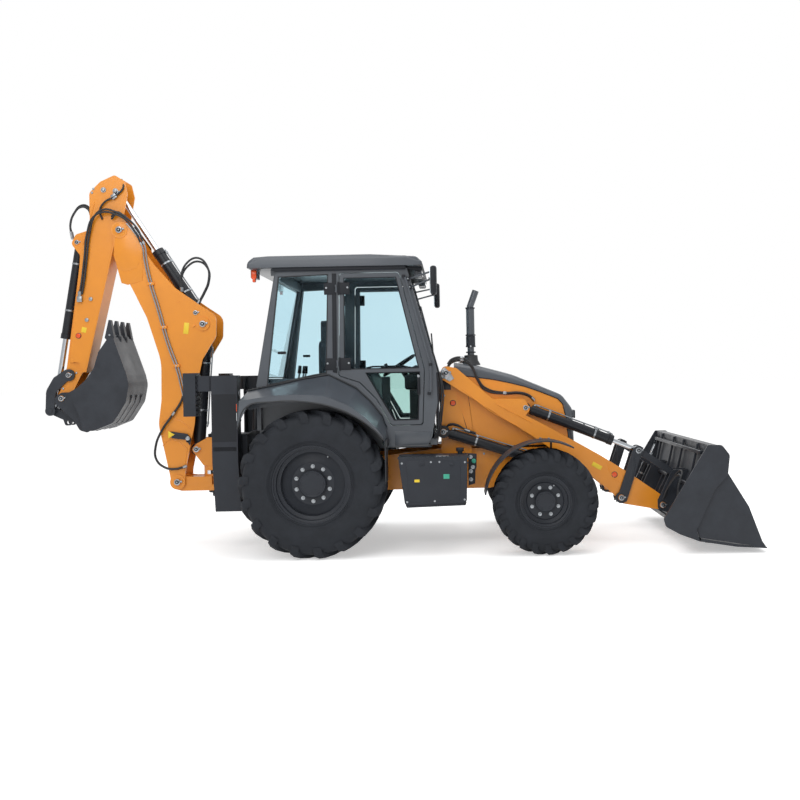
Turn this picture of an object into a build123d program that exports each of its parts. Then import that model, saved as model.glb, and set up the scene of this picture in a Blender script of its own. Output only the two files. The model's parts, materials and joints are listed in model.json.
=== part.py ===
from build123d import *
import os
from math import atan2, cos, degrees, hypot, pi, radians, sin, sqrt, tan

# Backhoe loader.  Millimetres.  X points forward, Y to the machine's left, Z up.
# While it is modelled, the rear axle is over x = 0 and the ground is z = 0.
# At the end every piece is shifted so that the middle of the whole is over the origin.

# ---------------------------------------------------------------- driving dimensions
wheelbase = 2190.0
rear_tyre_radius = 700.0
rear_tyre_width = 430.0
rear_track = 1760.0
front_tyre_radius = 500.0
front_tyre_width = 320.0
front_track = 1880.0
rear_rim_radius = 370.0
front_rim_radius = 245.0
kingpin_offset = 205.0          # from the middle of a front tyre in to its kingpin
tyre_side_gap = 25.0            # between a rear tyre's inner side and the cab's wall
guard_gap = 62.0                # between a front tyre and its mudguard
guard_wall = 14.0

# tread of each axle's tyres: lugs a side, their depth, and the flats of the carcass
treads = {"rear": dict(lugs=18, deep=34.0, flats=24), "front": dict(lugs=22, deep=26.0, flats=22)}
# nuts of each axle's hubs: how many, and the radius they are set on
hub_nuts = {"rear": dict(count=10, ring=165.0), "front": dict(count=8, ring=134.0)}

middle_x = 671.0                # the part's origin, ahead of the rear axle
pin_gap = 0.5                   # between a pin and the eye that turns on it
run_gap = 6.0                   # between pieces that move past each other
seat_gap = 0.3                  # between a piece and what it is seated on

frame_y = 365.0                 # outer face of the side rails
rail_wall = 22.0
arm_y = 448.0                   # middle of a loader arm
arm_half = 50.0                 # half of its width
hood_y = 378.0                  # outer face of the hood's sides
hood_wall = 10.0
cab_y = 750.0                   # outer face of the cab's side frames
cab_wall = 50.0
bucket_y = 1150.0               # outer face of the loader bucket's end plates
hoe_y = 300.0                   # outer face of the hoe bucket's side plates
boom_y = 150.0                  # outer face of the boom's side plates
dipper_y = 118.0                # outer face of the dipper's side plates
leg_y = 770.0                   # outer face of a folded stabiliser leg

# pins and turning points, (x, z) in side view
arm_pivot = (1273.0, 1725.0)
lift_base = (1236.0, 1140.0)
lift_eye = (2620.0, 690.0)
tilt_base = (2059.0, 1365.0)
lever_pivot = (2988.0, 456.0)
lever_top = (3169.0, 920.0)
bucket_pivot = (3399.0, 376.0)
bucket_pin = (3544.0, 671.0)
clam_pivot = (3776.0, 751.0)
clam_base = (3430.0, 350.0)
clam_eye = (3680.0, 880.0)
boom_foot = (-1516.0, 655.0)
boom_top = (-2067.0, 3264.0)
boom_knee = (-1224.0, 2279.0)
boom_ram_base = (-1330.0, 985.0)
dipper_ram_base = (-1300.0, 2397.0)
dipper_eye = (-2109.0, 3660.0)
hoe_ram_base = (-2529.0, 3154.0)
idler_pivot = (-2634.0, 1778.0)
idler_pin = (-2832.0, 1412.0)
hoe_pivot = (-2704.0, 1538.0)
hoe_pin = (-2524.0, 1324.0)
swing_x = -1157.0
stab_pivot = (-620.0, 470.0)    # (y, z) in a view from the rear, right side
stab_ram_base = (-690.0, 1560.0)
stab_ram_eye = (-560.0, 800.0)
stab_x = (-995.0, -745.0)


# ---------------------------------------------------------------- shape helpers
def outline(points):
    """Face in the XZ plane through corners (x, z) or (x, z, corner radius)."""
    corners = [Vector(p[0], 0, p[1]) for p in points]
    radii = [p[2] if len(p) > 2 else 0.0 for p in points]
    count = len(corners)
    ends = []
    for i, radius in enumerate(radii):
        here = corners[i]
        back = (corners[i - 1] - here).normalized()
        ahead = (corners[(i + 1) % count] - here).normalized()
        if radius <= 0:
            ends.append((here, None, here))
            continue
        half = radians(back.get_angle(ahead)) / 2
        reach = radius / tan(half)
        middle = here + (back + ahead).normalized() * (radius / sin(half) - radius)
        ends.append((here + back * reach, middle, here + ahead * reach))
    edges = []
    for i, (start, middle, end) in enumerate(ends):
        if middle is not None:
            edges.append(Edge.make_three_point_arc(start, middle, end))
        follow = ends[(i + 1) % count][0]
        if (follow - end).length > 0.01:
            edges.append(Edge.make_line(end, follow))
    return Face(Wire(edges))


def plate(points, y0, y1):
    """Prism of an XZ outline between two Y values."""
    low, high = min(y0, y1), max(y0, y1)
    solid = extrude(outline(points), amount=high - low, dir=(0, 1, 0))
    return Pos(0, low, 0) * Part(solid.wrapped)


def block(x0, x1, y0, y1, z0, z1):
    """Box between two corners."""
    size = (abs(x1 - x0), abs(y1 - y0), abs(z1 - z0))
    return Pos((x0 + x1) / 2, (y0 + y1) / 2, (z0 + z1) / 2) * Box(*size)


def pin(at, radius, y0, y1):
    """Round bar along Y at (x, z)."""
    return Pos(at[0], (y0 + y1) / 2, at[1]) * Rot(90, 0, 0) * Cylinder(radius, abs(y1 - y0))


def bar(start, end, radius):
    """Round bar between two points in space."""
    a, b = Vector(*start), Vector(*end)
    place = Plane(origin=a, z_dir=b - a)
    return place * Cylinder(radius, (b - a).length, align=(Align.CENTER, Align.CENTER, Align.MIN))


def both(solid):
    """A right-hand piece and its mirror image on the left."""
    return solid + mirror(solid, about=Plane.XZ)


def left(solid):
    """The left-hand twin of a right-hand piece."""
    return mirror(solid, about=Plane.XZ)


def shift(point, dx, dz):
    return (point[0] + dx, point[1] + dz)


# ---------------------------------------------------------------- hydraulic cylinders
# Side-view cylinders: barrel pinned at base, rod to eye, both as (x, z).
# ys: middles of the cylinders of this pair; barrel: (radius, length); rod: (radius, inner end);
# base: (pin radius, eye radius, width); eye: (hole radius, eye radius, width)
rams = {
    "lift": dict(base=lift_base, eye=lift_eye, ys=(-arm_y, arm_y), barrel=(50, 1180), rod=(27, 180),
                 base_eye=(30, 62, 80), rod_eye=(25, 46, 60)),
    "tilt": dict(base=tilt_base, eye=lever_top, ys=(-arm_y, arm_y), barrel=(48, 930), rod=(22, 330),
                 base_eye=(28, 50, 54), rod_eye=(24, 42, 48)),
    "clam": dict(base=clam_base, eye=clam_eye, ys=(-1058.0, 1058.0), barrel=(32, 345), rod=(17, 265),
                 base_eye=(18, 34, 44), rod_eye=(16, 30, 36)),
    "boom_ram": dict(base=boom_ram_base, eye=boom_knee, ys=(0.0,), barrel=(62, 1100), rod=(34, 200),
                     base_eye=(38, 66, 120), rod_eye=(32, 60, 72)),
    "dipper_ram": dict(base=dipper_ram_base, eye=dipper_eye, ys=(0.0,), barrel=(58, 790), rod=(28, 725),
                       base_eye=(32, 62, 60), rod_eye=(30, 54, 60)),
    "hoe_ram": dict(base=hoe_ram_base, eye=idler_pin, ys=(0.0,), barrel=(50, 1010), rod=(28, 900),
                    base_eye=(28, 50, 60), rod_eye=(26, 44, 60)),
}


def along(start, end, distance):
    """Point at a distance from start on the line to end, both (x, z)."""
    length = hypot(end[0] - start[0], end[1] - start[1])
    share = distance / length
    return (start[0] + (end[0] - start[0]) * share, start[1] + (end[1] - start[1]) * share)


def make_barrel(ram, y):
    """Tube with a closed eye end, a gland and a bore for the rod."""
    radius, length = ram["barrel"]
    rod_radius = ram["rod"][0]
    hole, eye_radius, width = ram["base_eye"]
    base, eye = ram["base"], ram["eye"]
    bottom, mouth = along(base, eye, eye_radius + 8), along(base, eye, length)
    gland = along(base, eye, length - radius * 0.9)
    body = bar((bottom[0], y, bottom[1]), (mouth[0], y, mouth[1]), radius)
    body += bar((gland[0], y, gland[1]), (mouth[0], y, mouth[1]), radius + 5)
    body += bar((base[0], y, base[1]), (bottom[0], y, bottom[1]), min(width, 2 * eye_radius) * 0.45)
    body += pin(base, eye_radius, y - width / 2, y + width / 2)
    start = along(base, eye, eye_radius + 12)
    body -= bar((start[0], y, start[1]), (mouth[0], y, mouth[1]), rod_radius + 1)
    return body - pin(base, hole + pin_gap, y - width, y + width)


def make_rod(ram, y):
    """Plain round rod with an eye."""
    radius, inner = ram["rod"]
    hole, eye_radius, width = ram["rod_eye"]
    base, eye = ram["base"], ram["eye"]
    start = along(base, eye, inner)
    body = bar((start[0], y, start[1]), (eye[0], y, eye[1]), radius)
    body += pin(eye, eye_radius, y - width / 2, y + width / 2)
    return body - pin(eye, hole, y - width, y + width)


def make_ram(name):
    """Barrels and rods of one pair, as two parts."""
    ram = rams[name]
    barrels, rods = Part(), Part()
    for y in ram["ys"]:
        barrels += make_barrel(ram, y)
        rods += make_rod(ram, y)
    return barrels, rods


# ---------------------------------------------------------------- chassis
tower_y = arm_y - arm_half - run_gap      # outer face of the loader towers
swing_low, swing_high = 560.0, 1105.0     # the swing post between the rear frame's ears
swing_pin = 38.0
swing_z = 760.0                           # height of the swing cylinders
swing_y = 220.0                           # their distance from the middle
swing_ram_base_x = -400.0
nose_x = wheelbase + 310.0               # front end of the side rails
rear_plate_x = -760.0


def make_frame():
    """Side rails, cross members, loader towers, and the rear frame with its ears."""
    rail = plate([(-740, 560), (-740, 760), (250, 860, 300), (1150, 962, 200), (wheelbase + 140, 962),
                  (nose_x, 860), (nose_x, 600), (wheelbase + 110, 640), (wheelbase - 290, 640),
                  (wheelbase - 490, 560)], -frame_y, -frame_y + rail_wall)
    tower = plate([(1212, 700), (1212, 1765, 40), (1335, 1765, 40), (1380, 1500), (1520, 960), (1520, 700)],
                  -tower_y, -frame_y + rail_wall)
    pins = pin(arm_pivot, 34, -tower_y, -arm_y - arm_half - 10)
    pins += pin(lift_base, 30, -tower_y, -arm_y - arm_half)
    rail -= pin((0, rear_tyre_radius), 95 + seat_gap, -500, -200)
    cowl = plate([(1336, 985), (1336, 1690), (1466, 1690), (1552, 985)], -hood_y, -hood_y + hood_wall)
    frame = both(rail + tower + pins + cowl)
    inner = frame_y - rail_wall
    saddle_z = front_tyre_radius + 200 + seat_gap
    for x0, x1, z0, z1 in ((-330, -270, 600, 760), (1215, 1330, 900, 1000),
                           (nose_x - 60, nose_x, 600, 860),
                           (wheelbase - 110, wheelbase + 110, saddle_z, 840)):
        frame += block(x0, x1, -inner, inner, z0, z1)
    back = block(rear_plate_x, rear_plate_x + 25, -560, 560, 430, 1160)
    for y in (-swing_y, swing_y):
        back -= block(rear_plate_x - 30, rear_plate_x + 60, y - 75, y + 75, swing_z - 75, swing_z + 75)
    for y in (-575, 575):
        back -= block(rear_plate_x - 5, rear_plate_x + 30, y - 45, y + 45, 420, 580)
    frame += back + block(1336, 1346, -hood_y + 1, hood_y - 1, 985, 1690)
    ear = Pos(swing_x, 0, 0) * Cylinder(75, 30) + block(swing_x, rear_plate_x, -75, 75, -15, 15)
    ear += block(-1000, rear_plate_x, -200, 200, -15, 15)
    for z in (swing_low - seat_gap - 15, swing_high + seat_gap + 15):
        frame += Pos(0, 0, z) * ear
        frame += Pos(swing_x, 0, z) * Cylinder(swing_pin, 110)
    side = block(rear_plate_x + 25, -700, -560, -343, 430, 1160)
    for z in (swing_z - 60, swing_z + 40):
        side += block(swing_ram_base_x - 40, swing_ram_base_x + 40, -inner - 1, -swing_y + 40, z, z + 20)
    side += Pos(swing_ram_base_x, -swing_y, swing_z) * Cylinder(20, 110)
    side += plate([(nose_x - 60, 850), (nose_x - 1, 850), (nose_x + 45, 930, 20), (nose_x + 30, 962, 15),
                   (nose_x - 10, 962, 15)], -260, -240)
    side += pin(hood_pivot, 14, -262, -210)
    return frame + both(side + make_stab_ears())


def make_stab_ears():
    """Ears, pin and fork that carry the right stabiliser leg and take its cylinder's rod."""
    x0, x1 = stab_x
    py, pz = stab_pivot
    ears = bar((x0 + 4, py, pz), (x1 - 4, py, pz), 32)
    for x in (x0 + leg_wall + 6, x1 - leg_wall - 26):
        ears += bar((x, py, pz), (x + 20, py, pz), 42) + block(x, x + 20, py, -559, 440, 512)
        ears += block(x, x + 20, -560, -480, 440, 560)
    ears += block(x0 + leg_wall + 6, x1 - leg_wall - 6, -560, -480, 440, 560)
    ears += block(x1 - leg_wall - 7, rear_plate_x + 1, -525, -480, 440, 560)
    ey, ez = stab_ram_eye
    middle = (x0 + x1) / 2
    for x in (middle - 49, middle + 31):
        ears += bar((x, ey, ez), (x + 18, ey, ez), 40) + block(x, x + 18, ey, -480, ez - 40, ez + 40)
    return ears + block(middle - 49, rear_plate_x + 1, -500, -480, ez - 40, ez + 40)


def make_front_axle():
    """Axle beam with its pivot block, kingpin yokes and steering rod."""
    half = front_track / 2 - kingpin_offset
    z = front_tyre_radius
    beam = block(wheelbase - 85, wheelbase + 85, -half + 70, half - 70, z - 75, z + 75)
    yoke = block(wheelbase - 50, wheelbase + 50, -half - 50, -half + 72, z + 100, z + 135)
    yoke += block(wheelbase - 50, wheelbase + 50, -half - 50, -half + 72, z - 135, z - 100)
    yoke += block(wheelbase - 50, wheelbase + 50, -half + 60, -half + 100, z - 135, z + 135)
    for pin_z in (z - 100, z + 100):
        yoke += Pos(wheelbase, -half, pin_z) * Cylinder(22, 60)
    pivot = block(wheelbase - 110, wheelbase + 110, -80, 80, z + 70, z + 200)
    return beam + both(yoke) + pivot


def make_rear_axle():
    """Rear axle with its tapered housings, gearbox and wheel flanges' stubs."""
    z = rear_tyre_radius
    reach = rear_track / 2 - 120
    casing = Pos(0, 0, z) * Rot(90, 0, 0) * Cylinder(190, 420)
    tube = Pos(0, 0, z) * Rot(90, 0, 0) * Cylinder(95, 2 * reach)
    gearbox = block(150, 1150, -170, 170, z - 130, z + 150)
    stub = pin((0, z), 60 - pin_gap, -rear_track / 2 - 60 + pin_gap, rear_track / 2 + 60 - pin_gap)
    return casing + tube + gearbox + stub


def make_engine():
    """Engine and radiator as plain blocks, on the rails."""
    motor = block(1560, wheelbase - 30, -250, 250, 850, 1380)
    radiator = block(wheelbase - 40, wheelbase + 190, -300, 300, 900, 1330)
    feet_y = frame_y - rail_wall - seat_gap
    feet = block(1600, wheelbase - 130, -feet_y, feet_y, 862, 900)
    motor += block(1140, 1570, -170, 170, 850, 900)
    return motor + radiator + feet


# ---------------------------------------------------------------- hood
hood_pivot = (wheelbase + 330.0, 940.0)
hood_low = 985.0
hood_front_x = wheelbase + 366.0
hood_top = [(1352, 1832), (1595, 1796, 500), (1946, 1697, 900), (wheelbase + 246, 1487, 160),
            (wheelbase + 355, 1340, 120), (hood_front_x, hood_low)]
hood_seam = [(1352, 1702), (1742, 1650, 500), (2065, 1575, 800), (wheelbase + 210, 1446, 120),
             (wheelbase + 262, 1378, 60), (wheelbase + 310, hood_low)]
hood_rear_top, hood_rear_low = (1469.0, 1693.0), (1556.0, hood_low)
stack_at = (1529.0, -230.0)     # (x, y) of the exhaust stack
grille_y = 250.0                # half width of the grille's slots
grille_slots = [1060.0, 1110.0, 1160.0, 1210.0]     # their lower edges
lamp_y = (190.0, 320.0)         # a nose lamp's inner and outer edge
lamp_z = (1250.0, 1320.0)


def hood_shell(offset):
    """Solid under the hood's skin, moved in by an offset."""
    top = [(x, z - offset, *r) for x, z, *r in hood_top]
    top[0] = (hood_top[0][0] - (1 if offset else 0), top[0][1])
    front = hood_top[-1][0] - offset
    top[-1] = (front, hood_low - (1 if offset else 0))
    top[-2] = (top[-2][0] - offset, top[-2][1], *top[-2][2:])
    solid = plate(top + [(top[0][0], top[-1][1])], -hood_y + offset, hood_y - offset)
    side_y = hood_y - offset
    upper = [e for e in solid.edges()
             if abs(abs(e.center().Y) - side_y) < 0.1 and e.center().Z > 1200 and e.center().X > 1360]
    return fillet(upper, 80 - offset)


def make_hood():
    """Orange sides below the seam, dark cover and nose above and in front of it."""
    skin = hood_shell(0) - hood_shell(hood_wall)
    zone = plate([hood_rear_top] + hood_seam[1:] + [hood_rear_low], -hood_y - 10, hood_y + 10)
    rear = plate([(1200, 1693), hood_rear_top, hood_rear_low, (1556, 900), (1200, 900)], -500, 500)
    sides = skin & zone
    stack_x, stack_y = stack_at
    slot = Pos(stack_x, stack_y, 1780) * Cylinder(60, 300)
    slot += block(1300, stack_x, stack_y - 60, stack_y + 60, 1694, 1900)
    for z in grille_slots:
        slot += block(hood_front_x - 40, hood_front_x + 20, -grille_y, grille_y, z, z + 24)
    pivot_x = hood_pivot[0]
    lug = plate([(pivot_x - 18, 992), (pivot_x + 29, 992), (pivot_x + 25, 930, 20), (pivot_x - 22, 930, 20)],
                -236, -216)
    lug -= pin(hood_pivot, 14 + pin_gap, -300, -200)
    lamp = block(hood_front_x - 18, hood_front_x + 14, -lamp_y[1], -lamp_y[0], *lamp_z)
    return sides, skin - zone - rear - slot + both(lug + lamp)


def make_exhaust():
    """Upright stack with its silencer, standing on the engine and passing through the hood's slot."""
    x, y = stack_at
    stack = block(x - 40, x + 100, y - 40, y + 60, 1380 + seat_gap, 1420)
    stack += bar((x, y, 1400), (x, y, 1840), 52) + bar((x, y, 1830), (x, y, 2400), 34)
    stack += bar((x, y, 2100), (x, y, 2380), 42)
    return stack + bar((x, y, 2398), (x + 60, y, 2560), 34) + Pos(x, y, 2400) * Sphere(34)


# ---------------------------------------------------------------- wheels
lug_foot = 0.80                 # where a lug starts on the flank, as a share of the radius
lug_thick = 0.085               # a lug's thickness, likewise
lug_slant = 0.5                 # how far a lug runs round the tyre, as a share of half the width
lug_inner_y = 6.0
lug_shoulder = 30.0
bead_inset = 45.0               # a rim's flange and the tyre's bead, in from the tyre's side
flank_inset = 4.0
shoulder_inset = 40.0
nut_radius = 19.0
nut_height = 16.0              # above the disc's outer face


def revolve_profile(points, centre):
    """Ring turned about the Y axis through centre; points are (radius, y)."""
    face = Face(Wire.make_polygon([Vector(r, y, 0) for r, y in points]))
    ring = revolve(face, Axis.Y, 360)
    return Pos(*centre) * Part(ring.wrapped)


def faceted_ring(profile, sides, centre):
    """Ring of flats about the Y axis, a flat at its foot; profile corners are (radius to a flat, y)."""
    grow = 1 / cos(pi / sides)
    rows = []
    for i in range(sides):
        turn = (i + 0.5) * 2 * pi / sides
        out_x, out_z = grow * sin(turn), -grow * cos(turn)
        rows.append([Vector(centre[0] + r * out_x, centre[1] + y, centre[2] + r * out_z) for r, y in profile])
    faces = []
    for i, row in enumerate(rows):
        after = rows[(i + 1) % sides]
        for k in range(len(profile)):
            j = (k + 1) % len(profile)
            faces.append(Face(Wire.make_polygon([row[k], row[j], after[j], after[k]])))
    return Part() + Solid(Shell(faces))


def make_lug(radius, half, hand):
    """Slanted bar of the tread on one side, at the foot of the wheel, and its lean."""
    foot, thick = radius * lug_foot, radius * lug_thick
    reach = half * lug_slant / 2 + thick / 2
    top = sqrt(radius ** 2 - reach ** 2)
    plan = [(-reach, lug_inner_y), (thick - reach, lug_inner_y), (reach, half), (reach - thick, half)]
    face = Face(Wire.make_polygon([Vector(x, hand * y, -foot) for x, y in plan]))
    bar_solid = Part(extrude(face, amount=radius - foot, dir=(0, 0, -1)).wrapped)
    across = [(0, foot), (0, top), (half - lug_shoulder, top), (half, foot)]
    face = Face(Wire.make_polygon([Vector(-reach - 1, hand * y, -r) for y, r in across]))
    trim = Part(extrude(face, amount=2 * reach + 2, dir=(1, 0, 0)).wrapped)
    return Part() + (bar_solid & trim), -degrees(atan2(reach, top))


def make_tyre(radius, width, rim, tread, centre):
    """Tyre of flats with two rows of slanted lugs, one row half a step behind the other."""
    half = width / 2
    base = radius - tread["deep"]
    flank = radius * lug_foot
    profile = [(rim, bead_inset - half), (flank, flank_inset - half), (base, shoulder_inset - half),
               (base, half - shoulder_inset), (flank, half - flank_inset), (rim, half - bead_inset)]
    step = 360 / tread["lugs"]
    bars = []
    for hand, behind in ((-1, 0.0), (1, 0.5)):
        lug, lean = make_lug(radius, half, hand)
        bars += [Pos(*centre) * Rot(0, step * (i + behind) + lean, 0) * lug for i in range(tread["lugs"])]
    return faceted_ring(profile, tread["flats"], centre) + bars


def make_rim(radius, width, dish, hub, nuts, centre, side):
    """Rim barrel with flanges, a dished centre disc with its nuts, and a hub."""
    half = width / 2 - bead_inset
    outer, inner = radius - seat_gap, radius - 22
    face = side * dish
    barrel = revolve_profile([(outer, -half), (outer, half), (inner, half), (inner, -half)], centre)
    disc = revolve_profile([(hub * 0.5, face - 12), (inner + 2, face - 12), (inner + 2, face + 12),
                            (hub * 0.5, face + 12)], centre)
    boss_far = side * (half - 20)
    boss = revolve_profile([(0.01, face), (hub, face), (hub * 0.92, boss_far), (0.01, boss_far)], centre)
    rim = barrel + disc + boss
    hexagon = RegularPolygon(nut_radius, 6)
    for i in range(nuts["count"]):
        turn = 2 * pi * (i + 0.5) / nuts["count"]
        x, z = centre[0] + nuts["ring"] * cos(turn), centre[2] + nuts["ring"] * sin(turn)
        seat_plane = Plane(origin=(x, centre[1] + face, z), z_dir=(0, side, 0))
        rim += Part(extrude(seat_plane * hexagon, amount=12 + nut_height).wrapped)
    return rim


# ---------------------------------------------------------------- steering knuckles
def make_knuckle():
    """Right knuckle: block on the kingpin, stub for the wheel, and the mudguard on its bracket."""
    half = front_track / 2 - kingpin_offset
    z = front_tyre_radius
    body = Pos(wheelbase, -half, z) * Cylinder(48, 190)
    body -= Pos(wheelbase, -half, z) * Cylinder(22 + pin_gap, 400)
    stub = pin((wheelbase, z), 60, -half - 40, -front_track / 2 + 60)
    body += stub - Pos(wheelbase, -half, z) * Cylinder(47, 400)
    body += pin((wheelbase, z), 45 - pin_gap, -half - 60, -front_track / 2 - 30 + pin_gap)
    guard_r = front_tyre_radius + guard_gap
    y0, y1 = -front_track / 2 - front_tyre_width / 2 + 10, -front_track / 2 + front_tyre_width / 2 - 10
    ring = pin((wheelbase, z), guard_r + guard_wall, y0, y1) - pin((wheelbase, z), guard_r, y0 - 1, y1 + 1)
    reach = guard_r * 2
    wedge = plate([(wheelbase, z)] + [(wheelbase + reach * cos(radians(a)), z + reach * sin(radians(a)))
                                      for a in (62, 90, 130, 172)], y0 - 2, y1 + 2)
    guard = ring & wedge
    stay = block(wheelbase + 30, wheelbase + 98, -half - 15, -half + 15, z + 20, z + 60)
    stay -= Pos(wheelbase, -half, z) * Cylinder(46, 400)
    stay += block(wheelbase + 80, wheelbase + 98, -half - 15, -half + 15, z + 20, z + guard_r + 5)
    stay += block(wheelbase + 60, wheelbase + 98, y1 - 15, -half + 15, z + guard_r - 9, z + guard_r + 5)
    return body + guard + stay


# ---------------------------------------------------------------- cab
cab_outer = [(-345, 2768, 40), (880, 2768, 30), (915, 2747), (1192, 1735), (1200, 1493), (1130, 1110),
             (1088, 1022), (663, 1022), (700, 1206), (655, 1328), (550, 1465), (405, 1603), (215, 1694),
             (140, 1738), (-130, 1697), (-360, 1648), (-560, 1620)]
quarter_window = [(-327, 2681, 40), (150, 2697, 30), (118, 1745, 30), (0, 1728), (-205, 1686),
                  (-455, 1640, 30)]
door_opening = [(256, 2712, 30), (842, 2712, 40), (1072, 1758), (1048, 1225, 30), (735, 1225, 20),
                (600, 1480),
                (440, 1645), (236, 1712, 20)]
door_edge = [(264, 2704, 30), (836, 2704, 40), (1064, 1757), (1040, 1233, 30), (740, 1233, 20), (606, 1486),
             (445, 1652), (244, 1720, 20)]
door_upper = [(306, 2660, 30), (806, 2660, 40), (1012, 1780, 20), (296, 1780, 20)]
door_lower = [(500, 1740, 10), (1020, 1740, 20), (1000, 1280, 30), (768, 1280, 15), (640, 1500)]
door_hinge = (232.0, -(cab_y + 14))
hinge_heights = (1830.0, 2560.0)
glass_wall = 6.0
rear_pane_y = 630.0             # half width of the rear window
wheel_wall_y = rear_track / 2 - rear_tyre_width / 2 - tyre_side_gap    # outer face of the walls by the tyres
# the handrail's bends down the front post, (x, z)
handrail = [(884, 2665), (905, 2640), (1128, 1810), (1128, 1560), (1110, 1530)]
mirror_stays = [(2640.0, 2700.0), (2560.0, 2630.0)]     # height at the post and at the mirror
mirror_x = (1150.0, 1200.0)
mirror_z = (2480.0, 2740.0)


def pane(points, y_out):
    """Pane of glass filling a window, its outer face at y_out."""
    return plate(points, -y_out, -y_out + glass_wall)


def make_side_frame():
    """Right side frame of the cab with its quarter window and door opening cut."""
    frame = plate(cab_outer, -cab_y, -cab_y + cab_wall)
    frame -= plate(quarter_window, -cab_y - 1, -cab_y + cab_wall + 1)
    frame -= plate(door_opening, -cab_y - 1, -cab_y + cab_wall + 1)
    return frame


def make_rail_and_mirror():
    """Right handrail down the front post, and the mirror on its two stays."""
    rail_y = -cab_y - 42
    rail = Part()
    for start, end in zip(handrail, handrail[1:]):
        rail += bar((start[0], rail_y, start[1]), (end[0], rail_y, end[1]), 11)
        rail += Pos(end[0], rail_y, end[1]) * Sphere(11)
    for x, z in (handrail[0], handrail[-1]):
        rail += bar((x, rail_y, z), (x, 1 - cab_y, z), 11) + Pos(x, rail_y, z) * Sphere(11)
    far_y = -cab_y - 170
    for z_post, z_far in mirror_stays:
        post_x = 905 + (2747 - z_post) * 0.2
        rail += bar((post_x, 5 - cab_y, z_post), (mirror_x[0] + 20, far_y + 40, z_far), 9)
    return rail + block(*mirror_x, far_y, far_y + 90, *mirror_z)


def make_cab_frame():
    """Side frames, front and rear posts and rails, floor and lower walls."""
    inner = cab_y - cab_wall
    frame = both(make_side_frame())
    frame += block(840, 905, -inner, inner, 2690, 2768)
    frame += block(-410, -340, -inner, inner, 2700, 2768)
    frame += block(1110, 1180, -inner, inner, 1030, 1090)
    rear = plate([(-372, 2740), (-332, 2740), (-530, 1640), (-530, 1200), (-570, 1200), (-570, 1640)],
                 -inner - 1, inner + 1)
    rear -= plate([(-420, 2660), (-300, 2660), (-480, 1700), (-620, 1700)], -rear_pane_y, rear_pane_y)
    frame += rear
    hinge_x, hinge_y = door_hinge
    lugs = Part()
    for z in hinge_heights:
        lugs += Pos(hinge_x, hinge_y, z) * Cylinder(6, 70)
        for z0 in (z - 35, z + 21):
            lugs += block(hinge_x - 12, hinge_x - 1, hinge_y - 8, -cab_y + 1, z0, z0 + 14)
            lugs += block(hinge_x - 12, hinge_x + 4, hinge_y - 8, hinge_y + 4, z0, z0 + 14)
    frame += both(lugs)
    wall_in = wheel_wall_y - 20
    floor = block(-640, 1120, -wall_in, wall_in, 1000, 1030)
    walls = both(block(-560, 640, -wheel_wall_y, -wall_in, 1000, 1700))
    return frame + floor + walls + both(make_rail_and_mirror())


# work lamps under the roof's overhangs: x from and to, distance from the middle from and to
roof_lamps = [(985.0, 1050.0, 560.0, 700.0), (985.0, 1050.0, 380.0, 520.0), (-600.0, -545.0, 560.0, 700.0)]
lamp_height = 92.0


def make_roof():
    """Roof cap with its rounded edge and underside tray."""
    low = 2768 + seat_gap
    roof = plate([(-625, low), (-620, 2822, 30), (-520, 2866, 60), (905, 2866, 60), (1060, 2815, 30),
                  (1074, low)],
                 -cab_y - 55, cab_y + 55)
    corners = [e for e in roof.edges() if e.center().Z > 2790 and abs(abs(e.center().Y) - cab_y - 55) < 1]
    roof = fillet(corners, 28)
    for x0, x1, y0, y1 in roof_lamps:
        roof += both(block(x0, x1, -y1, -y0, low - lamp_height, low + 10))
    return roof


def make_glass():
    """Fixed panes: windscreen, quarter windows and rear window."""
    quarter = both(pane(quarter_window, cab_y - 20))
    inner = cab_y - cab_wall
    screen = plate([(905, 2690), (911, 2690), (1150, 1735), (1150, 1095), (1144, 1095), (1144, 1735)],
                   -inner, inner)
    half = rear_pane_y - seat_gap
    rear = plate([(-371, 2655), (-365, 2655), (-536, 1705), (-542, 1705)], -half, half)
    return quarter + screen + rear


def make_door(side):
    """Door frame and its panes; side -1 is the right door, +1 the left one."""
    inner = cab_y - cab_wall + 4
    frame = plate(door_edge, -cab_y, -inner)
    frame -= plate(door_upper, -cab_y - 1, -inner + 1)
    frame -= plate(door_lower, -cab_y - 1, -inner + 1)
    hinge_x, hinge_y = door_hinge
    for z in hinge_heights:
        frame += block(hinge_x, 300, -cab_y - 8, -cab_y - 1, z - 20, z + 20)
        frame += block(268, 300, -cab_y - 2, -cab_y + 1, z - 20, z + 20)
        frame += Pos(hinge_x, hinge_y, z) * Cylinder(10, 40)
        frame -= Pos(hinge_x, hinge_y, z) * Cylinder(6 + pin_gap, 60)
    panes = pane(door_upper, cab_y - 12) + pane(door_lower, cab_y - 12)
    if side > 0:
        return left(frame), left(panes)
    return frame, panes


# mudguard sections: corners (x, z) beside the cab, and where the skirt's outer face ends
fender_inner = [(-640, 1180), (-640, 1585), (-360, 1636), (-128, 1685), (140, 1724), (402, 1592), (545, 1455),
                (648, 1320), (694, 1200), (700, 1060)]
fender_outer = [(-683, 1180), (-655, 1500), (-360, 1540), (-128, 1550), (140, 1530), (360, 1440), (510, 1330),
                (620, 1222), (680, 1140), (700, 1060)]
fender_arch = [(-690, 1235), (-572, 1465, 60), (-347, 1486), (-6, 1480, 300), (254, 1418, 300), (436, 1329),
               (616, 1195), (757, 1040), (757, 600), (-690, 600)]
fender_y = (-1080.0, -cab_y - seat_gap)
fender_wall = 12.0


def polygon_at(points, y, drop=0.0):
    """Face of straight corners (x, z) at a given y, lowered by drop."""
    return Face(Wire.make_polygon([Vector(x, y, z - drop) for x, z in points]))


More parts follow.
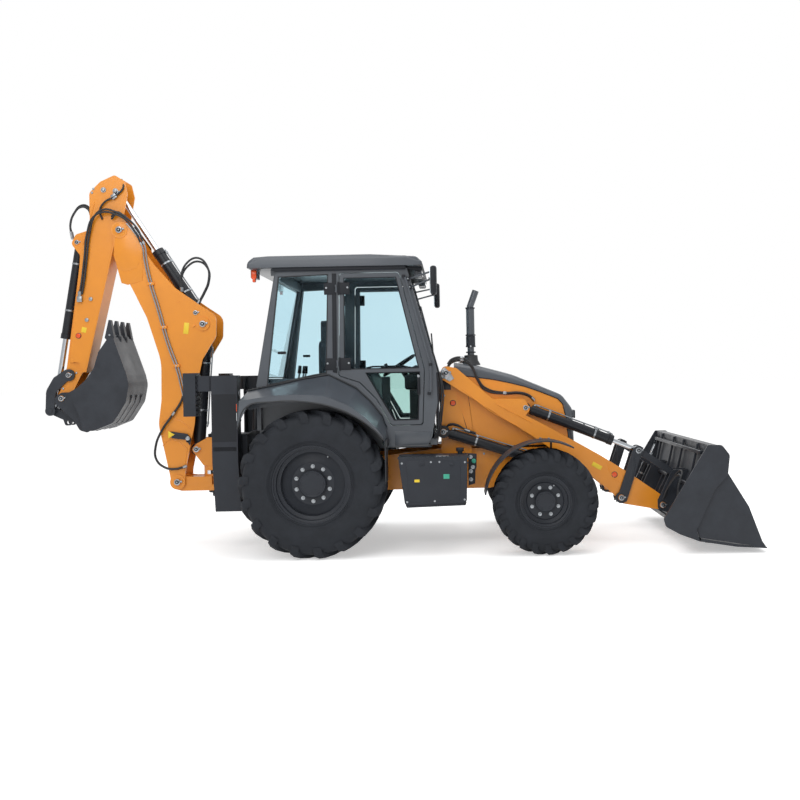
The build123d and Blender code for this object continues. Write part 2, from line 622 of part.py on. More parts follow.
def make_fender():
    """Right rear mudguard: its top slopes out from the cab, and its skirt stops at the tyre's arch."""
    y0, y1 = fender_y
    body = Part(loft([polygon_at(fender_outer, y0), polygon_at(fender_inner, y1)], ruled=True).wrapped)
    hollow = Part(loft([polygon_at(fender_outer, y0 + fender_wall, 16),
                        polygon_at(fender_inner, y1 - fender_wall, 16)],
                       ruled=True).wrapped)
    body -= hollow
    body -= plate(fender_arch, y0 - 5, y0 + fender_wall + 1)
    body -= plate([(-760, 1100), (-760, 1230), (-680, 1400), (0, 1480), (520, 1250), (760, 1030), (760, 900)],
                  y0 + fender_wall, y1 + 5)
    return body


wheel_at = (780.0, 1815.0)      # middle of the steering wheel, (x, z)


def make_seat():
    """Seat with its pedestal, console and steering column."""
    seat = block(50, 550, -250, 250, 1420, 1540) + block(0, 130, -240, 240, 1540, 2150)
    seat += block(120, 420, -180, 180, 1030.3, 1420)
    console = block(900, 1100, -330, 330, 1030.3, 1560)
    column = bar((960, 0, 1540), (wheel_at[0], 0, wheel_at[1]), 28)
    place = Pos(wheel_at[0], 0, wheel_at[1]) * Rot(0, -33, 0)
    wheel = place * Torus(185, 14) + place * Box(370, 30, 12) + place * Box(30, 370, 12)
    return seat + console + column + wheel


box_gap = 149.0                 # between a tool box and the mudguard ahead of it


def make_tool_box():
    """Right-hand tool box and left-hand tank under the cab steps, on brackets from the rails."""
    front_x = wheelbase - front_tyre_radius - guard_gap - guard_wall - box_gap
    box = plate([(812, 930), (front_x, 930), (front_x - 13, 500, 30), (868, 484, 30)], -990, -620)
    return both(box + block(900, 1150, -621, -frame_y - seat_gap, 820, 900))


# ---------------------------------------------------------------- loader
lever_gap = 6.0
lever_wall = 20.0
link_wall = 18.0
ear_wall = 16.0
arm_outline = [(1206, 1680, 20), (1240, 1800, 50), (1378, 1772, 40), (1718, 1470, 300), (2289, 1166),
               (2788, 880),
               (3072, 699), (3135, 655, 30), (3452, 430, 40), (3440, 322, 45), (3328, 335), (3000, 395, 50),
               (2919, 487), (2724, 656), (2123, 1080), (1291, 1623)]
tilt_ear = [(1720, 1430), (1770, 1458), (2050, 1452, 25), (2108, 1350, 45), (2060, 1290), (2120, 1200),
            (1800, 1380)]
lift_ear = [(2480, 800), (2560, 640, 40), (2660, 626, 50), (2760, 700)]


def make_arms():
    """Two box arms with cross tube, lever pivots, tilt brackets and lift ears."""
    low, high = -arm_y - arm_half, -arm_y + arm_half
    arm = plate(arm_outline, low, high)
    for y0 in (low + 3, high - 3 - ear_wall):
        arm += plate(tilt_ear, y0, y0 + ear_wall)
    arm += pin(tilt_base, 28, low + 3, high - 3)
    pocket = plate([(2360, 760), (2390, 905, 30), (2520, 910, 30), (2800, 765, 30), (2820, 560), (2500, 560)],
                   low + ear_wall, high - ear_wall)
    for y0 in (low, high - ear_wall):
        arm += plate(lift_ear, y0, y0 + ear_wall)
    arm -= pocket
    arm -= pin(arm_pivot, 34 + pin_gap, low - 1, high + 1)
    reach = arm_half + lever_gap + lever_wall + 4
    arm += pin(lever_pivot, 30, -arm_y - reach, -arm_y + reach)
    reach = arm_half + lever_gap + ear_wall + 4
    arm += pin(bucket_pivot, 30, -arm_y - reach, -arm_y + reach)
    tube = pin((2700, 775), 62, -arm_y + arm_half - 1, arm_y - arm_half + 1)
    return both(arm) + tube


def make_levers():
    """Twin-plate tilt levers outside each arm, with the stubs that carry the links."""
    inner = arm_half + lever_gap
    body = Part()
    for side in (-1, 1):
        y0, y1 = sorted((-arm_y + side * inner, -arm_y + side * (inner + lever_wall)))
        strap = plate([shift(lever_pivot, -52, -40, ), shift(lever_top, -48, 30), shift(lever_top, 48, 30),
                       shift(lever_pivot, 52, -40)], y0, y1)
        strap += pin(lever_top, 48, y0, y1) + pin(lever_pivot, 56, y0, y1)
        strap -= pin(lever_pivot, 30 + pin_gap, y0 - 1, y1 + 1)
        stub = sorted((-arm_y + side * (arm_half - link_wall - 4), -arm_y + side * (inner + 1)))
        body += strap + pin(lever_top, 24, *stub)
    return both(body)


def make_links():
    """Twin-plate links from the lever tops to the bucket."""
    body = Part()
    for side in (-1, 1):
        y0, y1 = sorted((-arm_y + side * (arm_half - 2), -arm_y + side * (arm_half - 2 - link_wall)))
        dx, dz = bucket_pin[0] - lever_top[0], bucket_pin[1] - lever_top[1]
        length = hypot(dx, dz)
        nx, nz = -dz / length * 32, dx / length * 32
        strap = plate([shift(lever_top, nx, nz), shift(bucket_pin, nx, nz), shift(bucket_pin, -nx, -nz),
                       shift(lever_top, -nx, -nz)], y0, y1)
        strap += pin(lever_top, 42, y0, y1) + pin(bucket_pin, 36, y0, y1)
        strap -= pin(lever_top, 24 + pin_gap, y0 - 1, y1 + 1) + pin(bucket_pin, 24, y0 - 1, y1 + 1)
        body += strap
    return both(body)


sheet_back = [(3716, 1005), (3650, 700), (3525, 430), (3490, 300), (3510, 205), (3592, 124)]
sheet_front = [(3610, 140), (3532, 215), (3512, 300), (3546, 424), (3672, 694), (3738, 1000)]
end_plate = [(3268, 335, 30), (3286, 262, 40), (3414, 190), (3597, 120), (3572, 232, 30), (3745, 600, 200),
             (3868, 730, 40), (3890, 915, 50), (3818, 1009, 40), (3688, 1011, 20)]
bay_y = 1000.0
end_wall = 20.0


def make_bucket():
    """Rear half of the four-in-one bucket: back sheet, end plates, ribs, top beam and hinge ears."""
    sheet = plate(sheet_back + sheet_front, -bay_y, bay_y)
    beam = [(3700, 952), (3700, 1008), (3815, 1004, 20), (3800, 952, 20)]
    sheet += plate(beam, -bucket_y + 1, bucket_y - 1)
    sheet += plate([(3515, 205), (3492, 230), (3492, 190), (3597, 120)], -bucket_y + 1, bucket_y - 1)
    rib = [(3490, 300), (3440, 230), (3420, 182), (3560, 132), (3620, 150), (3560, 230), (3560, 430),
           (3700, 700),
           (3760, 960), (3700, 980), (3600, 700), (3480, 430)]
    side = plate(end_plate, -bucket_y, -bucket_y + end_wall)
    side += plate(rib, -bay_y, -bay_y + end_wall)
    side += pin(clam_pivot, 32, -bucket_y + 1, -1094)
    side += pin(clam_base, 18, -bucket_y + 1, -bay_y + 1)
    side += plate([(3400, 300), (3400, 380), (3500, 420), (3560, 300), (3440, 200)], -bay_y,
                  -bay_y + end_wall)
    ear_points = [(3350, 330, 40), (3350, 425, 40), (3500, 725, 45), (3672, 725), (3560, 430), (3500, 250),
                  (3450, 300, 30)]
    for offset in (arm_half + lever_gap, -arm_half - lever_gap - ear_wall):
        y0 = -arm_y + offset
        ear = plate(ear_points, y0, y0 + ear_wall)
        side += ear - pin(bucket_pivot, 30 + pin_gap, y0 - 1, y0 + ear_wall + 1)
    return sheet + both(side)


clam_side = [(3604, 150), (4222, 48), (4182, 110), (4066, 431, 60), (3880, 740), (3830, 830, 40),
             (3700, 915, 30),
             (3645, 880, 30), (3700, 760), (3690, 560, 200), (3580, 240)]
clam_floor = [(3604, 116), (3947, 60), (4226, 42), (4226, 52), (3960, 84), (3618, 142)]
clam_y = 1122.0


def make_clam():
    """Front half of the bucket: floor with its cutting edge, and sides with the cylinder cranks."""
    floor = plate(clam_floor, -clam_y, clam_y)
    side = plate(clam_side, -clam_y, -clam_y + 22)
    side -= pin(clam_pivot, 32 + pin_gap, -clam_y - 1, -clam_y + 23)
    return floor + both(side)


# ---------------------------------------------------------------- backhoe
boom_wall = 14.0
boom_side = [(-2140, 3260, 60), (-2125, 3010, 60), (-1810, 2382, 900), (-1662, 1900, 600), (-1668, 1500, 400),
             (-1702, 1250, 300), (-1590, 700, 120), (-1590, 590, 60), (-1440, 590, 60), (-1436, 760, 200),
             (-1330, 1250, 300), (-1300, 1650, 300), (-1237, 1913, 100), (-1092, 2148, 90),
             (-1085, 2360, 110),
             (-1247, 2470, 200), (-1504, 2654), (-1717, 2897), (-1985, 3300, 60)]
boom_box = [(-1905, 2560), (-1780, 2300, 900), (-1640, 1900, 600), (-1645, 1500, 400), (-1678, 1250, 300),
            (-1590, 830),
            (-1490, 830), (-1455, 1260, 300), (-1432, 1650, 300), (-1430, 1900, 300), (-1470, 2190, 200),
            (-1600, 2440, 200), (-1680, 2610)]
boom_core = [(-1880, 2520), (-1760, 2290, 900), (-1625, 1900, 600), (-1630, 1500, 400), (-1662, 1250, 300),
             (-1580, 850),
             (-1504, 850), (-1469, 1260, 300), (-1446, 1650, 300), (-1444, 1900, 300), (-1482, 2182, 200),
             (-1608, 2425, 200), (-1690, 2580)]


def make_boom():
    """Two curved side plates with a box between them, open forks at both ends and at the knee."""
    side = plate(boom_side, -boom_y, -boom_y + boom_wall)
    side += pin(boom_top, 84, -boom_y - 10, -boom_y) + pin(boom_foot, 78, -boom_y - 8, -boom_y)
    side += pin(boom_knee, 70, -boom_y - 12, -boom_y)
    side -= pin(boom_foot, 36 + pin_gap, -boom_y - 20, -boom_y + boom_wall + 1)
    inner = boom_y - boom_wall
    web = plate(boom_box, -inner - 0.5, inner + 0.5) - plate(boom_core, -inner - 2, inner + 2)
    boom = both(side) + web
    boom += pin(boom_top, 34, -boom_y - 22, boom_y + 22)
    for y0, y1 in ((-boom_y - 22, -66), (66, boom_y + 22)):
        boom += pin(boom_knee, 32, y0, y1)
    return boom + pin(dipper_ram_base, 32, -boom_y + 1, boom_y - 1)


ext_y = dipper_y - 14 - run_gap


def make_dipper():
    """Channel open at its back, with the head plates above the boom pin."""
    side = plate([(-2120, 3840, 40), (-2020, 3775, 40), (-1990, 3640, 60), (-2035, 3400),
                  (-1985, 3240, 60), (-2070, 3160),
                  (-2150, 3150), (-2456, 1807, 20), (-2500, 1800), (-2520, 1900), (-2560, 1915, 20),
                  (-2618, 1900, 20), (-2478, 3100),
                  (-2385, 3340, 80), (-2385, 3660, 60), (-2270, 3772, 40)], -dipper_y, -dipper_y + 14)
    side -= pin(boom_top, 34 + pin_gap, -dipper_y - 1, -dipper_y + 15)
    web = plate([(-2130, 3150), (-2161, 3150), (-2472, 1807), (-2451, 1804)], -dipper_y + 1, dipper_y - 1)
    head = plate([(-2380, 3560), (-2380, 3650), (-2290, 3750), (-2280, 3735), (-2364, 3645), (-2364, 3560)],
                 -dipper_y + 1, dipper_y - 1)
    pad = plate([(-2590, 1930), (-2480, 1950), (-2468, 2010), (-2578, 1990)], -dipper_y + 13,
                -ext_y - seat_gap)
    side += pad
    hub = pin(boom_top, 62, -dipper_y + 1, dipper_y - 1) - pin(boom_top, 34 + pin_gap, -200, 200)
    return both(side) + web + head + hub


def make_extension():
    """Inner tube of the dipper with the lobes of the bucket cylinder and the nose for the bucket."""
    side = plate([(-2425, 3270, 30), (-2540, 3235, 40), (-2590, 3140, 45), (-2500, 3020, 40), (-2508, 2900),
                  (-2660, 1850), (-2700, 1780, 30), (-2690, 1700), (-2760, 1560, 50), (-2720, 1470, 50),
                  (-2640, 1520),
                  (-2520, 1760), (-2475, 1830), (-2191, 3060), (-2225, 3200, 30)], -ext_y, -ext_y + 14)
    side += plate([(-2330, 3070), (-2240, 3070), (-2220, 3150), (-2310, 3150)], -dipper_y + 14 + seat_gap,
                  -ext_y + 1)
    inner = ext_y - 14
    web = plate([(-2196, 3060), (-2481, 1830), (-2495, 1834), (-2210, 3064)], -inner - 0.5, inner + 0.5)
    back = plate([(-2552, 2500), (-2645, 1850), (-2631, 1848), (-2538, 2498)], -inner - 0.5, inner + 0.5)
    nose = pin(hoe_pivot, 52, -inner - 0.5, inner + 0.5) + pin(idler_pivot, 46, -inner - 0.5, inner + 0.5)
    body = both(side) + web + back + nose
    body += pin(hoe_ram_base, 28, -ext_y - 6, ext_y + 6)
    body += pin(hoe_pivot, 30, -hoe_ear_y - 22, hoe_ear_y + 22)
    body += pin(idler_pivot, 28, -idler_y - 22, idler_y + 22)
    return body


idler_y = ext_y + 5
hoe_ear_y = idler_y + 16 + 6


def make_idler():
    """Pair of curved plates from the extension to the bucket cylinder's rod."""
    side = plate([(-2605, 1825), (-2665, 1835), (-2790, 1755, 60), (-2870, 1620, 120), (-2880, 1410),
                  (-2790, 1390), (-2775, 1600, 120), (-2640, 1725)], -idler_y - 16, -idler_y)
    side += pin(idler_pivot, 62, -idler_y - 16, -idler_y) + pin(idler_pin, 52, -idler_y - 16, -idler_y)
    side -= pin(idler_pivot, 28 + pin_gap, -idler_y - 20, -idler_y + 5)
    side += pin(idler_pin, 24, -idler_y - 22, -36)
    return both(side)


def make_tip_link():
    """Pair of straps from the idler's pin to the bucket, with a lifting eye."""
    strap = plate([(-2862, 1440), (-2850, 1376), (-2720, 1315), (-2700, 1255, 25), (-2640, 1255, 25),
                   (-2630, 1290), (-2530, 1276), (-2515, 1370), (-2700, 1390), (-2815, 1452)], -64, -42)
    strap += pin(idler_pin, 46, -64, -42) + pin(hoe_pin, 46, -64, -42)
    for at, hole in ((idler_pin, 24 + pin_gap), (hoe_pin, 24), ((-2670, 1286), 18)):
        strap -= pin(at, hole, -70, -36)
    cross = block(-2700, -2660, -43, 43, 1322, 1372)
    return both(strap) + cross


hoe_outer = [(-2425, 1204, 30), (-2316, 1206, 60), (-2120, 1282, 60), (-2060, 1370, 100), (-1985, 1486, 120),
             (-1950, 1665, 200), (-1972, 1770, 150), (-2104, 2156)]
hoe_mouth = [(-2160, 2140), (-2255, 2004), (-2304, 1841), (-2385, 1727), (-2480, 1645), (-2575, 1592, 20),
             (-2470, 1400, 80)]
hoe_hollow = [(-2415, 1221, 20), (-2320, 1221, 50), (-2128, 1297, 50), (-2072, 1378, 90), (-1999, 1490, 110),
              (-1965, 1665, 190), (-1987, 1768, 150), (-2122, 2160), (-2200, 2200), (-2420, 1900),
              (-2620, 1700),
              (-2550, 1580), (-2452, 1398, 70)]
hoe_ear = [(-2765, 1560, 50), (-2700, 1600, 40), (-2580, 1600), (-2465, 1395), (-2405, 1210),
           (-2440, 1180, 30),
           (-2520, 1205, 50), (-2580, 1310, 60), (-2775, 1490, 50)]
hoe_wall = 14.0
tooth_count = 4
ear_eye = (-2477.0, 1238.0)


def make_hoe_bucket():
    """Curved bucket with side plates, hinge ears and teeth on its lip."""
    body = plate(hoe_outer + hoe_mouth, -hoe_y, hoe_y)
    body -= plate(hoe_hollow, -hoe_y + hoe_wall, hoe_y - hoe_wall)
    ear = plate(hoe_ear, -hoe_ear_y - 16, -hoe_ear_y)
    ear -= pin(hoe_pivot, 30 + pin_gap, -hoe_y, hoe_y) + pin(ear_eye, 20, -hoe_y, hoe_y)
    ear += pin(hoe_pin, 46, -hoe_ear_y - 16, -hoe_ear_y) + pin(hoe_pin, 24, -hoe_ear_y - 24, -70)
    body += both(ear)
    for i in range(tooth_count):
        y = -hoe_y + 40 + i * (2 * hoe_y - 80) / (tooth_count - 1)
        body += plate([(-2150, 2100), (-2191, 2150), (-2148, 2330, 4), (-2128, 2330, 4), (-2096, 2150),
                       (-2100, 2100)],
                      y - 28, y + 28)
    return body


# ---------------------------------------------------------------- swing post
post_plates = (96.0, 130.0)


def make_post():
    """Casting on the vertical pivots that carries the boom's foot and the boom cylinder."""
    hub_low = Pos(swing_x, 0, (swing_low + 705) / 2) * Cylinder(95, 705 - swing_low)
    hub_high = Pos(swing_x, 0, (815 + swing_high) / 2) * Cylinder(95, swing_high - 815)
    column = Pos(swing_x - 30, 0, swing_z) * Cylinder(90, 120)
    body = hub_low + hub_high + column
    body += block(swing_x - 270, swing_x, -90, 90, swing_low, 700)
    y0, y1 = post_plates
    fork = plate([(-1170, swing_low), (-1170, 704), (-1380, 704), (-1470, 715, 30), (-1580, 715, 50),
                  (-1590, 590, 60),
                  (-1480, swing_low)], -y1, -y0)
    fork -= pin(boom_foot, 36, -y1 - 1, -y0 + 1)
    head = plate([(swing_x + 60, 815), (swing_x + 60, 1100, 50), (swing_x - 60, 1104, 30), (-1335, 1040, 50),
                  (-1390, 985, 40), (-1330, 910, 50), (-1260, 815)], -94, -66)
    body += both(fork) + both(head) + block(-1240, swing_x, -70, 70, 815, 1000)
    body += block(-1380, -1100, -y1, y1, swing_low, 620)
    body += pin(boom_foot, 36, -boom_y - 22, boom_y + 22) + pin(boom_ram_base, 38, -110, 110)
    bore = Pos(swing_x, 0, swing_low - 20) * Cylinder(swing_pin + pin_gap, 140)
    bore += Pos(swing_x, 0, swing_high + 20) * Cylinder(swing_pin + pin_gap, 140)
    return body - bore


def make_swing_ram():
    """Right swing cylinder, lying level from the frame to beside the post."""
    base_x, eye_x = swing_ram_base_x, swing_x
    barrel = bar((base_x, -swing_y, swing_z), (base_x - 520, -swing_y, swing_z), 33)
    barrel += Pos(base_x, -swing_y, swing_z) * Cylinder(36, 50)
    barrel -= bar((base_x - 48, -swing_y, swing_z), (base_x - 530, -swing_y, swing_z), 19)
    barrel -= Pos(base_x, -swing_y, swing_z) * Cylinder(20 + pin_gap, 80)
    rod = bar((base_x - 250, -swing_y, swing_z), (eye_x, -swing_y, swing_z), 18)
    rod += Pos(eye_x, -swing_y, swing_z) * Cylinder(32, 36)
    return barrel, rod


# ---------------------------------------------------------------- stabilisers
leg_wall = 12.0


def make_leg():
    """Right stabiliser leg: a channel open towards the frame, with its cylinder inside."""
    x0, x1 = stab_x
    py, pz = stab_pivot
    points = [(py - 60, pz - 55, 40), (-leg_y, 900), (-leg_y, 1740, 30), (-leg_y + 150, 1740, 40),
              (-leg_y + 150, 1200),
              (py + 55, pz + 40, 40), (py + 50, pz - 55, 40)]
    face = Face(Wire.make_polygon([Vector(0, p[0], p[1]) for p in points]))
    side = Part(extrude(face, amount=leg_wall, dir=(1, 0, 0)).wrapped)
    body = Pos(x0, 0, 0) * side + Pos(x1 - leg_wall, 0, 0) * side
    web = Face(Wire.make_polygon([Vector(0, y, z) for y, z in (
        (py - 60, pz - 55), (-leg_y, 900), (-leg_y, 1740), (-leg_y + leg_wall, 1740),
        (-leg_y + leg_wall, 902),
        (py - 48, pz - 53))]))
    body += Pos(x0 + 1, 0, 0) * Part(extrude(web, amount=x1 - x0 - 2, dir=(1, 0, 0)).wrapped)
    by, bz = stab_ram_base
    body += bar((x0 + 1, by, bz), (x1 - 1, by, bz), 24)
    body -= bar((x0 - 5, py, pz), (x1 + 5, py, pz), 32 + pin_gap)
    body += bar((x0 - 60, by, bz + 110), (x0 + 1, by, bz + 110), 26)
    return body


def make_pad():
    """Right stabiliser pad: a thick block hung on the leg's end pin."""
    x0 = stab_x[0]
    by, bz = stab_ram_base
    body = block(x0 - 270, x0 - 150, -leg_y, -leg_y + 170, 1350, 1770)
    body += block(x0 - 151, x0 - 8, -leg_y + 30, -leg_y + 140, 1590, 1740)
    return body - bar((x0 - 62, by, bz + 110), (x0 + 1, by, bz + 110), 26 + pin_gap)


def make_stab_ram():
    """Right stabiliser cylinder, pinned in the leg, with its rod towards the frame."""
    x = sum(stab_x) / 2
    (by, bz), (ey, ez) = stab_ram_base, stab_ram_eye
    length = hypot(ey - by, ez - bz)

    def at(distance):
        share = distance / length
        return (x, by + (ey - by) * share, bz + (ez - bz) * share)

    barrel = bar(at(25), at(length - 100), 42) + bar((x - 40, by, bz), (x + 40, by, bz), 44)
    barrel -= bar(at(60), at(length), 23)
    barrel -= bar((x - 60, by, bz), (x + 60, by, bz), 24 + pin_gap)
    rod = bar(at(110), at(length), 22) + bar((x - 25, ey, ez), (x + 25, ey, ez), 38)
    rod -= bar((x - 40, ey, ez), (x + 40, ey, ez), 20)
    return barrel, rod


def build():
    """Return every node's solid by name, in the modelling frame."""
    nodes = {}
    nodes["frame"] = make_frame()
    nodes["front_axle"] = make_front_axle()
    nodes["drivetrain"] = make_rear_axle() + make_engine()
    nodes["cab_frame"] = make_cab_frame()
    nodes["cab_roof"] = make_roof()
    nodes["cab_glass"] = make_glass()
    fender = make_fender()
    nodes["fenders"] = both(fender)
    nodes["seat"] = make_seat()
    nodes["side_boxes"] = make_tool_box()
    nodes["hood_sides"], nodes["hood_cover"] = make_hood()
    nodes["exhaust"] = make_exhaust()
    for side, word in ((-1, "right"), (1, "left")):
        nodes["door_" + word], nodes["door_glass_" + word] = make_door(side)
    hub = (0, -rear_track / 2, rear_tyre_radius)
    rear = make_tyre(rear_tyre_radius, rear_tyre_width, rear_rim_radius, treads["rear"], hub)
    rear_rim = make_rim(rear_rim_radius, rear_tyre_width, 60, 120, hub_nuts["rear"], hub, -1)
    hub = (wheelbase, -front_track / 2, front_tyre_radius)
    front = make_tyre(front_tyre_radius, front_tyre_width, front_rim_radius, treads["front"], hub)
    front_rim = make_rim(front_rim_radius, front_tyre_width, 30, 90, hub_nuts["front"], hub, -1)
    barrel, rod = make_swing_ram()
    leg, pad = make_leg(), make_pad()
    stab_barrel, stab_rod = make_stab_ram()
    sided = dict(knuckle=make_knuckle(), front_tyre=front, front_rim=front_rim, rear_tyre=rear,
                 rear_rim=rear_rim, swing_barrel=barrel, swing_rod=rod, stabilizer=leg + pad,
                 stab_barrel=stab_barrel, stab_rod=stab_rod)
    for name, solid in sided.items():
        nodes[name + "_right"] = solid
        nodes[name + "_left"] = left(solid)
    nodes["loader_arms"] = make_arms()
    nodes["tilt_levers"] = make_levers()
    nodes["tilt_links"] = make_links()
    nodes["loader_bucket"] = make_bucket()
    nodes["bucket_clam"] = make_clam()
    for name in rams:
        nodes[name + "_barrel"], nodes[name + "_rod"] = make_ram(name)
    nodes["swing_post"] = make_post()
    nodes["boom"] = make_boom()
    nodes["dipper"] = make_dipper()
    nodes["extension"] = make_extension()
    nodes["idler"] = make_idler()
    nodes["tip_link"] = make_tip_link()
    nodes["hoe_bucket"] = make_hoe_bucket()
    return nodes


def main():
    """Build every piece, shift it into the part's frame and write its file."""
    os.makedirs("parts", exist_ok=True)
    nodes = build()
    boxes = [solid.bounding_box() for solid in nodes.values()]
    low_x, high_x = min(b.min.X for b in boxes), max(b.max.X for b in boxes)
    print("length", round(high_x - low_x), "middle x", round((low_x + high_x) / 2, 1), "nodes", len(nodes))
    for name, solid in nodes.items():
        export_step(Pos(-middle_x, 0, 0) * solid, "parts/" + name + ".step")


if __name__ == "__main__":
    main()
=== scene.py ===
"""Looks for a backhoe loader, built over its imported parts.

Lengths are millimetres from the rear axle while a piece is shaped: X forward, Y to the machine's
left, Z up from the ground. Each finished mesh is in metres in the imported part's own frame.
"""

import json
import logging
from dataclasses import dataclass
from enum import Enum
from math import cos, hypot, pi, radians, sin
from typing import Callable, Iterable, Optional, Sequence

import bmesh
import bpy
from mathutils import Matrix, Vector

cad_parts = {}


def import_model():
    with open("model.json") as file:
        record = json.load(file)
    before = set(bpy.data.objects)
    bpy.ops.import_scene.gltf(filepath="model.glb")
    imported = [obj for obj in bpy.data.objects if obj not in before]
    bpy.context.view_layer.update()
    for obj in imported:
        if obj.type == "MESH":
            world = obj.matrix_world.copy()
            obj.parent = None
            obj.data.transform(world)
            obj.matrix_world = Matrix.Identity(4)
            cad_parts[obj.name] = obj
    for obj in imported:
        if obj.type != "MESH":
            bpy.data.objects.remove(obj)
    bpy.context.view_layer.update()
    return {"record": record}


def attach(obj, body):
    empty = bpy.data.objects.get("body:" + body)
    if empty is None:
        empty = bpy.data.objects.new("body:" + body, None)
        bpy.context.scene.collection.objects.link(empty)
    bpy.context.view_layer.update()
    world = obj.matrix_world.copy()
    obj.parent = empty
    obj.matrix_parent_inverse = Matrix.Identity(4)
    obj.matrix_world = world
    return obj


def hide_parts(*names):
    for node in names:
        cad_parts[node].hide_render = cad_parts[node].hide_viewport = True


LOG = logging.getLogger("backhoe")
MIDDLE_X = 671.0  # the part's origin, ahead of the rear axle
TO_FRAME = Matrix.Diagonal((0.001, 0.001, 0.001, 1.0)) @ Matrix.Translation((-MIDDLE_X, 0.0, 0.0))
FROM_FRAME = TO_FRAME.inverted()
OUT_RIGHT = (0, -1, 0)  # away from the machine's right side
UP = (0, 0, 1)
SHARP = 32.0  # edges that turn by more than this, in degrees, stay sharp
HEX = 6  # sides of a nut or a fitting
# Pins and axles of the machine in side view, as (x, z)
TOWER_PIN = (1273, 1725)
LIFT_BASE = (1236, 1140)
LIFT_EYE = (2620, 690)
TILT_BASE = (2059, 1365)
TILT_EYE = (3169, 920)
LEVER_PIN = (2988, 456)
BUCKET_PIN = (3399, 376)
CLAM_BASE = (3430, 350)
CLAM_EYE = (3680, 880)
BOOM_FOOT = (-1516, 655)
BOOM_RAM_BASE = (-1330, 985)
BOOM_RAM_EYE = (-1224, 2279)
BOOM_HEAD = (-2067, 3264)
DIPPER_RAM_BASE = (-1300, 2397)
DIPPER_RAM_EYE = (-2109, 3660)
HOE_RAM_BASE = (-2529, 3154)
HOE_RAM_EYE = (-2832, 1412)
HOE_PIN = (-2704, 1538)
IDLER_PIN = (-2634, 1778)
FRONT_AXLE = (2190, 500)
REAR_AXLE = (0, 700)
Point = Sequence[float]
Test = Callable[[Vector], bool]  # takes a face's middle


class Side(Enum):
    """A side of the machine, by the sign of its Y."""

    RIGHT = -1
    LEFT = 1

    @property
    def word(self) -> str:
        """The side's name as the part's nodes write it."""
        return self.name.lower()


class Slot(Enum):
    """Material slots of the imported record."""

    BODY = "body_paint"
    DARK = "dark_paint"
    TYRE = "tyre"
    RIM = "rim_paint"
    GLASS = "glass"
    CHROME = "chrome"
    SEAT = "seat_fabric"


def linear(hex_colour: str) -> tuple[float, float, float, float]:
    """Turn an sRGB hex colour into the linear values that a shader takes.

    Args:
        hex_colour: six hex digits after a hash sign.

    Returns:
        Red, green, blue and an alpha of 1.
    """
    parts = [int(hex_colour[i : i + 2], 16) / 255 for i in (1, 3, 5)]
    made = [p / 12.92 if p <= 0.04045 else ((p + 0.055) / 1.055) ** 2.4 for p in parts]
    return (made[0], made[1], made[2], 1.0)


def add(
    tree: bpy.types.NodeTree,
    kind: str,
    settings: Optional[dict[str, object]] = None,
    links: Optional[dict[str, bpy.types.NodeSocket]] = None,
) -> bpy.types.Node:
    """Add a node with its settings and links.

    Args:
        tree: the node tree.
        kind: the node's bl_idname.
        settings: values by attribute name, or by the name or number of an input.
        links: output sockets by the name or number of the input that takes them.

    Returns:
        The new node.
    """
    node = tree.nodes.new(kind)
    for key, value in (settings or {}).items():
        if hasattr(node, key):
            setattr(node, key, value)
        else:
            node.inputs[int(key) if key.isdigit() else key].default_value = value
    for key, socket in (links or {}).items():
        tree.links.new(socket, node.inputs[int(key) if key.isdigit() else key])
    return node


def leaning(angle: float) -> Matrix:
    """Turn about the Y axis by an angle in degrees."""
    return Matrix.Rotation(radians(angle), 4, "Y")


